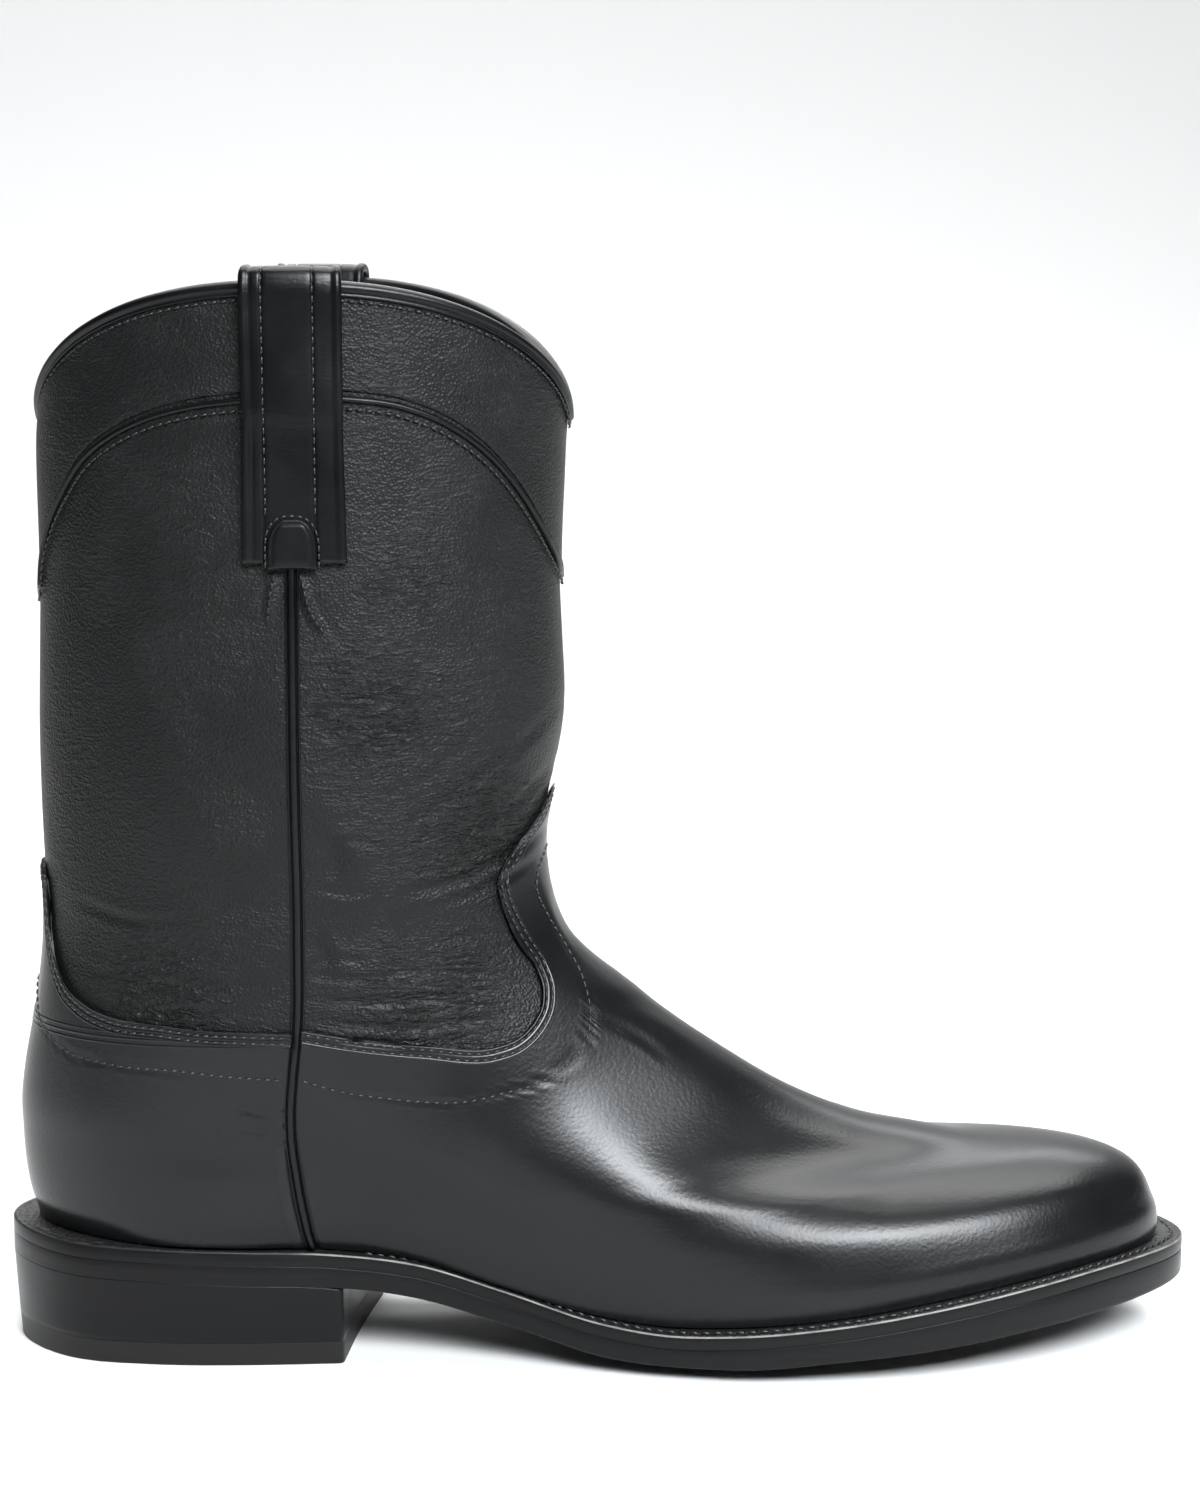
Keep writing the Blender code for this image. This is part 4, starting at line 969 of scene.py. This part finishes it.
def make_tab(side):
    """Arched patch at the strap's foot, on a grid of height shares and places across, with a stitched dip inside
    its edge."""
    middle = (PIPING_LINE[0, 0] + 0.3) * MM
    rise = np.concatenate([[0.0, 0.02, 0.06], np.linspace(0.12, 0.86, 16), [0.9, 0.94, 0.97, 0.99, 0.999]])
    half = tab_outline(rise)
    t = np.linspace(-1, 1, 25)
    t = np.sign(t) * (1 - (1 - np.abs(t)) ** 1.6)
    x = middle + half[:, None] * t[None]
    z = (TAB_LOW + TAB_TALL * rise[:, None] + 0.5 * (1 - t[None] ** 2) * (1 - rise[:, None])) * MM
    ring, around = locate(x, z)
    around = 1 - around if side == "medial" else around
    edge = np.minimum(half[:, None] * (1 - np.abs(t[None])), np.minimum(rise, 1 - rise)[:, None] * TAB_TALL * MM)
    top = 0.1 + 0.75 * (1 - np.exp(-edge / (0.22 * MM))) - 0.3 * np.exp(-((edge - 1.1 * MM) / (0.35 * MM)) ** 2)
    p, n = base(ring, around), outward(ring, around)
    upper = p + n * (STRAP_THICK + top * MM)[..., None]
    lower = p + n * (STRAP_THICK - 0.0004)
    loops = np.concatenate([upper, lower[:, ::-1]], 1)
    return swept("strap_patch_" + side, loops, False, finish_of("strap"), ["strap_tab_" + side])


# Sole and heel

def outline(count):
    """Closed outline of the sole from the back along the lateral side to the toe and back, in plan, at even steps."""
    turn = np.linspace(0, pi, 2000)
    share = (1 - np.cos(turn)) / 2
    lateral, medial = sole_sides(share)
    x = (share - 0.5) * LENGTH
    return even_steps(np.concatenate([np.stack([x, lateral], -1), np.stack([x, medial], -1)[-2:0:-1]]), count)


def inward(loop):
    """Unit direction in from a closed plan outline that runs back, lateral side, toe."""
    ahead = np.roll(loop, -1, 0) - np.roll(loop, 1, 0)
    ahead /= np.linalg.norm(ahead, axis=1, keepdims=True)
    return np.stack([-ahead[:, 1], ahead[:, 0]], -1)


def ring_of(loop, inset, height):
    """Outline moved in by inset, at a height that is a function of x."""
    spot = loop + inward(loop) * inset
    z = height(spot[:, 0])
    return np.concatenate([spot, np.broadcast_to(z, len(spot))[:, None]], 1)


def sole_edge_rings(loop, profile, top, bottom):
    """Rings of a sole layer: each row of the profile is (inset, share down from top to bottom, extra drop)."""
    rows = []
    for inset, share, extra in profile:
        # Over the heel the lower corner stays square, so that it meets the heel block
        fade = smooth_step(BREAST_X - 4 * MM, BREAST_X, loop[:, :1]) if share > 0.9 and inset < 1 else 1.0
        rows.append(ring_of(loop, inset * MM * fade, lambda x: top(x) + (bottom(x) - top(x)) * share - extra * MM))
    return np.array(rows)


def fill_rings(edge, steps, height):
    """Rings that close a plate: the edge drawn in to the middle line, at a height of its own."""
    rows = []
    middle = np.stack([np.clip(edge[:, 0], -0.148, 0.146), np.zeros(len(edge))], -1)
    share = np.clip(edge[:, 0] / LENGTH + 0.5, 0.001, 0.999)
    lateral, medial = sole_sides(share)
    middle[:, 1] = (lateral + medial) / 2
    for k in steps:
        spot = middle + (edge[:, :2] - middle) * k
        rows.append(np.concatenate([spot, height(spot[:, 0], k)[:, None]], 1))
    return np.array(rows)


def make_welt():
    """Welt: wheeled top ledge, bevelled corner and side, carried round the outline."""
    loop = outline(720)
    top, bottom = welt_top, lambda x: welt_top(x) - WELT_THICK
    profile = [(14, 0, 0.1), (7.0, 0, 0.05), (4.6, 0, 0), (3.4, 0, 0), (2.9, 0, 0.25), (2.4, 0, 0.3), (1.9, 0, 0.25),
               (1.5, 0, 0.05), (1.1, 0, -0.03), (0.8, 0, -0.02), (0.55, 0, 0), (0.3, 0, 0.10), (0.12, 0, 0.26),
               (0, 0, 0.5), (0, 0.95, 0), (0.06, 0.985, 0), (0.3, 1.0, 0), (14, 1.0, 0)]
    rings = sole_edge_rings(loop, profile, top, bottom)
    faces = grid_faces(len(rings), len(loop), True, True).tolist()
    # The rounded corner is the faces from the profile's row 11 to its row 13; its finish holds a painted highlight
    more = [(finish_of("corner"), 11 * len(loop)), (finish_of("edge"), 13 * len(loop))]
    return add_piece("welt_strip", rings, faces, finish_of("ledge"), ["welt"], more)


def make_outsole():
    """Outsole: side, rounded lower corner and a full underside drawn in to the middle line."""
    loop = outline(480)
    top = lambda x: welt_top(x) - WELT_THICK
    bottom = lambda x: sole_bottom(x, 1.0)
    profile = [(14, 0, 0), (0.3, 0, 0.01), (0.06, 0, 0.05), (0, 0, 0.2), (0, 0.5, 0), (0, 0.85, 0), (0.08, 0.93, 0),
               (0.3, 0.98, 0), (0.7, 1.0, 0)]
    rings = sole_edge_rings(loop, profile, top, bottom)
    steps = np.array([0.96, 0.88, 0.76, 0.62, 0.48, 0.34, 0.17, 0.0])
    low = fill_rings(rings[-1], steps, lambda x, k: sole_bottom(x, k))
    high = fill_rings(rings[0], np.array([0.6, 0.3, 0.0]), lambda x, k: top(x))
    rings = np.concatenate([high[::-1], rings, low])
    faces = grid_faces(len(rings), len(loop), False, True).tolist()
    return add_piece("sole_layer", rings, faces, finish_of("edge"), ["outsole"], weld=LAP)


def heel_outline(inset, count):
    """Plan of the heel block: the sole's own back end, closed by a slightly hollow breast with rounded corners."""
    turn = np.linspace(0, pi / 2, 400)
    reach = BREAST_X / LENGTH + 0.5
    share = reach * (1 - np.cos(turn))
    keep = 1 - inset / (0.32 * BALL_WIDTH)
    back = (share[-1] - share) / share[-1]
    sides = []
    for y in sole_sides(share):
        skew = BREAST_SLOPE * (y + 0.32 * BALL_WIDTH) * (1 - back) ** 2
        sides.append(np.stack([(share - 0.5) * LENGTH + inset * back ** 2 + skew, y * keep], -1))
    lateral, medial = sides
    c = np.linspace(0, 1, 120)[1:-1, None]
    breast = lateral[-1] * (1 - c) + medial[-1] * c
    breast[:, 0] -= (0.8 * MM * np.sin(pi * c))[:, 0]
    even = even_steps(np.concatenate([lateral, breast, medial[::-1][:-1]]), count)
    for _ in range(3):
        even = (np.roll(even, 1, 0) + 2 * even + np.roll(even, -1, 0)) / 4
    return even


def heel_layer(name, levels, finish, nodes):
    """Rings from top to bottom, then drawn in to a point at both ends."""
    rings = []
    for inset, level in levels:
        plan = heel_outline(inset * MM, 300)
        rings.append(np.concatenate([plan, np.broadcast_to(level(plan[:, 0]), 300)[:, None]], 1))
    rings = np.array(rings)

    def lid(ring, steps, height):
        centre = ring[:, :2].mean(0)
        out = []
        for k in steps:
            spot = centre + (ring[:, :2] - centre) * k
            out.append(np.concatenate([spot, np.broadcast_to(height(spot[:, 0]), 300)[:, None]], 1))
        return np.array(out)

    rings = np.concatenate([lid(rings[0], [0.0, 0.5, 0.95], levels[0][1]), rings,
                            lid(rings[-1], [0.95, 0.5, 0.0], levels[-1][1])])
    faces = grid_faces(len(rings), 300, False, True).tolist()
    return add_piece(name, rings, faces, finish, nodes, weld=LAP)


def make_heel():
    def share_down(z):
        return HEEL_TAPER / MM * (1 - z / (0.62 * SEAT_HEIGHT))

    def seat(x):
        return sole_bottom(x, 0.0)

    low = CAP_THICK
    # Pairs of how far a ring lies in from the sole's outline, in millimetres, and its height
    levels = [(0.0, seat), (0.0, lambda x: seat(x) - 0.3 * MM)]
    for part in (0.1, 0.3, 0.5, 0.7, 0.9):
        levels.append((share_down(0.0202 + (low - 0.0202) * part), lambda x, p=part: seat(x) + (low - seat(x)) * p))
    levels.append((share_down(low), lambda x: low + 0 * x))
    heel_layer("heel_block", levels, finish_of("edge"), ["heel_stack"])
    levels = [(share_down(low), lambda x: low + 0 * x), (share_down(low) + 0.02, lambda x: low - 0.1 * MM + 0 * x)]
    for z in (0.0045, 0.003, 0.0012, 0.0006):
        levels.append((share_down(z), lambda x, z=z: z + 0 * x))
    levels += [(share_down(0.0) + 0.15, lambda x: 0.00015 + 0 * x), (share_down(0.0) + 0.5, lambda x: 0 * x)]
    heel_layer("heel_lift", levels, finish_of("lift"), ["heel_cap"])


def make_insole():
    """Sock inside the foot: the feather line drawn in to the middle, slightly dished."""
    around = np.arange(240) / 240
    edge = base(np.full(240, float(LAST_RING)), around)[:, :2]
    edge = edge + inward(edge) * (WALL + 2 * RIM_GAP)
    level = lambda x, k: welt_top(x) + RIM_GAP + INSOLE_THICK - 0.6 * MM * (1 - k)
    low = lambda x, k: welt_top(x) + RIM_GAP + 0 * k
    steps = np.array([1.0, 0.97, 0.8, 0.5, 0.25, 0.0])
    rings = np.concatenate([fill_rings(edge, steps[::-1], low), fill_rings(edge, steps, level)])
    faces = grid_faces(len(rings), 240, False, True).tolist()
    return add_piece("sock_lining", rings, faces, finish_of("lining"), ["insole"], weld=LAP)


# Stitches: pitch, length and half thickness of those around the strap patch and of the welt's

FINE_THREAD = (0.0019, 0.0016, 0.00028)
WELT_THREAD = (0.0030, 0.0024, 0.00042)


def stitch_row(points, normals, pitch, length, radius):
    """Rounded stitches at even pitch: each is five six-sided sections that rise out of the leather and dip back in."""
    run = run_along(points)
    count = max(1, int(run[-1] / pitch))
    centre = (np.arange(count) + 0.5) * run[-1] / count
    along = np.array([-0.5, -0.36, 0.0, 0.36, 0.5])
    lift = np.array([-0.9, 0.15, 0.45, 0.15, -0.9])
    wide = np.array([0.45, 0.95, 1.0, 0.95, 0.45])
    at = centre[:, None] + along[None] * length
    spot = np.stack([np.interp(at, run, points[:, i]) for i in range(3)], -1)
    up = np.stack([np.interp(at, run, normals[:, i]) for i in range(3)], -1)
    up /= np.linalg.norm(up, axis=-1, keepdims=True)
    ahead = (spot[:, -1] - spot[:, 0])[:, None]
    side = np.cross(up, np.broadcast_to(ahead, up.shape))
    side /= np.linalg.norm(side, axis=-1, keepdims=True)
    turn = np.arange(6) / 6 * 2 * pi
    middle = spot + up * (lift * radius)[None, :, None]
    rad = (wide * radius)[None, :, None, None]
    section = side[:, :, None] * np.cos(turn)[None, None, :, None] + up[:, :, None] * np.sin(turn)[None, None, :, None]
    return middle[:, :, None] + section * rad


def stitch_mesh(name, groups):
    """One mesh of many stitches, each closed at both ends."""
    all_points = np.concatenate([g.reshape(-1, 30, 3) for g in groups])
    count = len(all_points)
    faces = grid_faces(5, 6, False, True)
    faces = (faces[None] + (np.arange(count) * 30)[:, None, None]).reshape(-1, 4).tolist()
    ends = np.stack([np.arange(6), 24 + np.arange(6)])
    faces += (ends[None] + (np.arange(count) * 30)[:, None, None]).reshape(-1, 6).tolist()
    return add_piece(name, all_points, faces, finish_of("thread"))


def on_form(ring, around, out):
    return form(ring, around, out), outward(ring, around)


def make_stitches():
    """Rows of the foot panels (two beside the cut edge, one further in), of collar, straps and welt."""
    thread = sizes().stitch_pitch, sizes().stitch, sizes().thread / 2
    panel = sizes().panel
    groups = []
    for over, line, count, row, row_count, inner in ((over_front, VAMP_LINE, 250, VAMP_ROW, 200, 1),
                                                     (over_back, COUNTER_LINE, 170, COUNTER_ROW, 170, -1)):
        path = over(*along_line(line, count))
        for d in (1.4, 3.0):
            groups.append(stitch_row(*on_form(*shifted(*path, d * MM, inner), panel * 0.95), *thread))
        groups.append(stitch_row(*on_form(*over(*along_line(row, row_count)), panel), *thread))
    stitch_mesh("foot_stitches", groups)
    p, n = on_form(np.zeros(500), np.linspace(0, 1, 500), 0.0)
    groups = [stitch_row(*on_form(*shifted(*cord_path(200), 2.3 * MM, -1), 0.6 * MM), *thread),
              stitch_row(p + n * 0.9 * MM + (0, 0, -0.0039), n, *thread)]
    stitch_mesh("collar_stitches", groups)
    groups = []
    for side in ("lateral", "medial"):
        for across in STRAP_FOLDS:
            groups.append(stitch_row(*strap_line(side, across, 0.76, 0.16, 1.0, 120), *thread))
        rise = np.linspace(0.03, 0.999, 60)
        x = tab_outline(rise) + 0.5 * MM
        x = np.concatenate([-x, x[::-1]]) + (PIPING_LINE[0, 0] + 0.3) * MM
        z = (TAB_LOW + (TAB_TALL + 0.7) * rise) * MM
        ring, around = locate(x, np.concatenate([z, z[::-1]]))
        legs = [(ring, around, STRAP_THICK + 0.0001)]
        for line in (LEG_LEFT, LEG_RIGHT):
            legs.append((*along_line(line, 40), 0.0005))
        for ring, around, out in legs:
            around = 1 - around if side == "medial" else around
            groups.append(stitch_row(*on_form(ring, around, out), *FINE_THREAD))
    stitch_mesh("strap_stitches", groups)
    loop = outline(900)
    spot = ring_of(loop, 2.9 * MM, welt_top)
    keep = spot[:, 0] > -0.062
    half = len(loop) // 2
    lateral, medial = spot[:half][keep[:half]], spot[half:][keep[half:]]
    path = np.concatenate([lateral, medial])
    up = np.broadcast_to([0.0, 0.0, 1.0], path.shape)
    stitch_mesh("welt_stitches", [stitch_row(path - up * 0.00015, up, *WELT_THREAD)])


# Stage

def add_light(name, place, target, wide, tall, power, tint=(1, 1, 1), spread=180):
    """Soft box at a place, turned to its target. A narrow spread keeps its light off the rest of the floor."""
    data = bpy.data.lights.new(name, "AREA")
    data.spread = radians(spread)
    data.shape = "RECTANGLE"
    data.size = wide
    data.size_y = tall
    data.energy = power
    data.color = tint
    obj = bpy.data.objects.new(name, data)
    bpy.context.scene.collection.objects.link(obj)
    obj.location = place
    obj.rotation_euler = (Vector(target) - Vector(place)).to_track_quat("-Z", "Y").to_euler()


def make_stage():
    """Pale sweep: a floor that curves up into a wall behind the boot."""
    y = np.concatenate([np.linspace(-2.2, 1.0, 9), 1.0 + 0.6 * np.sin(np.linspace(0.1, 1, 12) * pi / 2), [1.6]])
    z = np.concatenate([np.zeros(9), 0.6 - 0.6 * np.cos(np.linspace(0.1, 1, 12) * pi / 2), [2.6]])
    x = np.linspace(-2.4, 2.4, 9)
    points = np.stack(np.broadcast_arrays(x[None], y[:, None], z[:, None]), -1)
    mesh = bpy.data.meshes.new("floor")
    mesh.from_pydata(points.reshape(-1, 3).tolist(), [], grid_faces(len(y), len(x)).tolist())
    mesh.polygons.foreach_set("use_smooth", np.ones(len(mesh.polygons), bool))
    paper = dict(Roughness=0.9, Specular_IOR_Level=0.2, Base_Color=(*linear("d6d6d6"), 1))
    mesh.materials.append(new_finish("white paper sweep", **paper))
    floor = bpy.data.objects.new("floor", mesh)
    bpy.context.scene.collection.objects.link(floor)
    world = bpy.data.worlds.new("studio")
    bpy.context.scene.world = world
    world.use_nodes = True
    world.node_tree.nodes["Background"].inputs["Color"].default_value = (0.9, 0.93, 1.0, 1)
    world.node_tree.nodes["Background"].inputs["Strength"].default_value = 0.03
    add_light("key", (0.50, -1.12, 1.02), (0.03, 0.0, 0.10), 1.1, 0.55, 12.0, (0.93, 0.97, 1.0), 70)
    add_light("rim", (0.10, 0.95, 0.85), (0.05, 0.0, 0.08), 1.2, 0.25, 1.2, (0.95, 0.98, 1.0), 80)
    add_light("wall", (0.0, 0.5, 2.2), (0.0, 1.6, 0.6), 2.8, 0.8, 54)
    add_light("backdrop_floor", (0.0, 0.75, 1.6), (0.0, 0.45, 0.0), 2.0, 0.5, 7, spread=100)
    add_light("floor_front", (0.0, -0.15, 1.5), (0.0, -0.02, 0.0), 1.4, 0.1, 0.5, spread=40)
    camera = bpy.data.objects.new("camera", bpy.data.cameras.new("camera"))
    bpy.context.scene.collection.objects.link(camera)
    camera.location = (0.0, -0.850 + SHIFT[1], 0.286)
    camera.rotation_euler = (radians(90 - 8.68), 0, 0)
    camera.data.lens = 79.08
    camera.data.sensor_width = 36
    camera.data.clip_start = 0.01
    bpy.context.scene.camera = camera
    bpy.context.scene.view_settings.view_transform = "Standard"


# Settings, operators and panel

class BootSizes(bpy.types.PropertyGroup):
    """Sizes that a user may change."""

    panel: FloatProperty(name="Panel thickness", description="Foot leather over the shaft", default=0.0013,
                         min=0.0006, max=0.0016, unit="LENGTH")
    pebble: FloatProperty(name="Pebble", description="Size of one pebble of the shaft's grain", default=0.0007,
                          min=0.0003, max=0.003, unit="LENGTH")
    stitch: FloatProperty(name="Stitch", description="Length of one stitch", default=0.0019,
                          min=0.001, max=0.005, unit="LENGTH")
    stitch_pitch: FloatProperty(name="Stitch pitch", description="From one stitch to the next", default=0.0024,
                                min=0.0012, max=0.006, unit="LENGTH")
    thread: FloatProperty(name="Thread", description="Thickness of the thread", default=0.0006,
                          min=0.0002, max=0.001, unit="LENGTH")


def colour_setting(name, description, text):
    return FloatVectorProperty(name=name, description=description, default=linear(text), size=3, min=0, max=1,
                               subtype="COLOR")


class BootColours(bpy.types.PropertyGroup):
    """Colours that a user may change."""

    shaft: colour_setting("Shaft", "Grained leather in its hollows", "0f1010")
    shaft_light: colour_setting("Shaft, lighter", "Grained leather where it is lighter", "161717")
    foot: colour_setting("Foot", "Polished leather", "08090a")
    foot_light: colour_setting("Foot, lighter", "Polished leather where it is lighter", "0e0f10")
    edge: colour_setting("Edge", "Inked sole edge", "070707")
    edge_light: colour_setting("Edge, lighter", "Streaks of the sole edge", "0e0e0f")
    lining: colour_setting("Lining", "Lining leather", "0e0d0d")
    thread: colour_setting("Thread", "Waxed thread", "0d0e0f")


class BOOT_OT_upper(bpy.types.Operator):
    """Make the shaft with its lining, and the sock inside."""

    bl_idname = "boot.upper"
    bl_label = "Shaft and lining"

    def execute(self, context):
        make_shaft()
        make_insole()
        return {"FINISHED"}


class BOOT_OT_panels(bpy.types.Operator):
    """Make the vamp, the counter and the collar band."""

    bl_idname = "boot.panels"
    bl_label = "Foot and collar panels"

    def execute(self, context):
        make_panel("vamp_panel", *over_front(*along_line(VAMP_LINE, 250)), 1, 120, 0.3, "vamp")
        make_panel("counter_panel", *over_back(*along_line(COUNTER_LINE, 170)), -1, 90, 0.35, "counter")
        make_collar()
        return {"FINISHED"}


class BOOT_OT_trim(bpy.types.Operator):
    """Make the rim binding, the raised collar seam and both side seams."""

    bl_idname = "boot.trim"
    bl_label = "Binding and seams"

    def execute(self, context):
        make_binding()
        make_cord()
        for side in ("lateral", "medial"):
            make_piping(side)
        return {"FINISHED"}


class BOOT_OT_straps(bpy.types.Operator):
    """Make both pull straps and the patches at their feet."""

    bl_idname = "boot.straps"
    bl_label = "Pull straps"

    def execute(self, context):
        for side in ("lateral", "medial"):
            make_strap(side)
            make_tab(side)
        return {"FINISHED"}


class BOOT_OT_sole(bpy.types.Operator):
    """Make the welt, the outsole and the heel."""

    bl_idname = "boot.sole"
    bl_label = "Sole and heel"

    def execute(self, context):
        make_welt()
        make_outsole()
        make_heel()
        return {"FINISHED"}


class BOOT_OT_stitches(bpy.types.Operator):
    """Make every row of stitches."""

    bl_idname = "boot.stitches"
    bl_label = "Stitches"

    def execute(self, context):
        make_stitches()
        return {"FINISHED"}


class BOOT_OT_stage(bpy.types.Operator):
    """Make the floor, the lights and the camera."""

    bl_idname = "boot.stage"
    bl_label = "Stage"

    def execute(self, context):
        make_stage()
        return {"FINISHED"}


OPERATORS = [BOOT_OT_stage, BOOT_OT_upper, BOOT_OT_panels, BOOT_OT_trim, BOOT_OT_straps, BOOT_OT_sole,
             BOOT_OT_stitches]


class BOOT_PT_pieces(bpy.types.Panel):
    """Pieces and settings of the boot."""

    bl_idname = "BOOT_PT_pieces"
    bl_label = "Roper boot"
    bl_space_type = "VIEW_3D"
    bl_region_type = "UI"
    bl_category = "Boot"

    def draw(self, context):
        for group in (context.scene.boot_sizes, context.scene.boot_colours):
            for name in group.__annotations__:
                self.layout.prop(group, name)
        for kind in OPERATORS:
            self.layout.operator(kind.bl_idname)


CLASSES = [BootSizes, BootColours, *OPERATORS, BOOT_PT_pieces]


def register():
    for kind in CLASSES:
        bpy.utils.register_class(kind)
    bpy.types.Scene.boot_sizes = PointerProperty(type=BootSizes)
    bpy.types.Scene.boot_colours = PointerProperty(type=BootColours)


def unregister():
    del bpy.types.Scene.boot_sizes
    del bpy.types.Scene.boot_colours
    for kind in reversed(CLASSES):
        bpy.utils.unregister_class(kind)


def main():
    register()
    bpy.ops.boot.stage()
    bpy.ops.boot.upper()
    bpy.ops.boot.panels()
    bpy.ops.boot.trim()
    bpy.ops.boot.straps()
    bpy.ops.boot.sole()
    bpy.ops.boot.stitches()


if __name__ == "__main__":
    main()
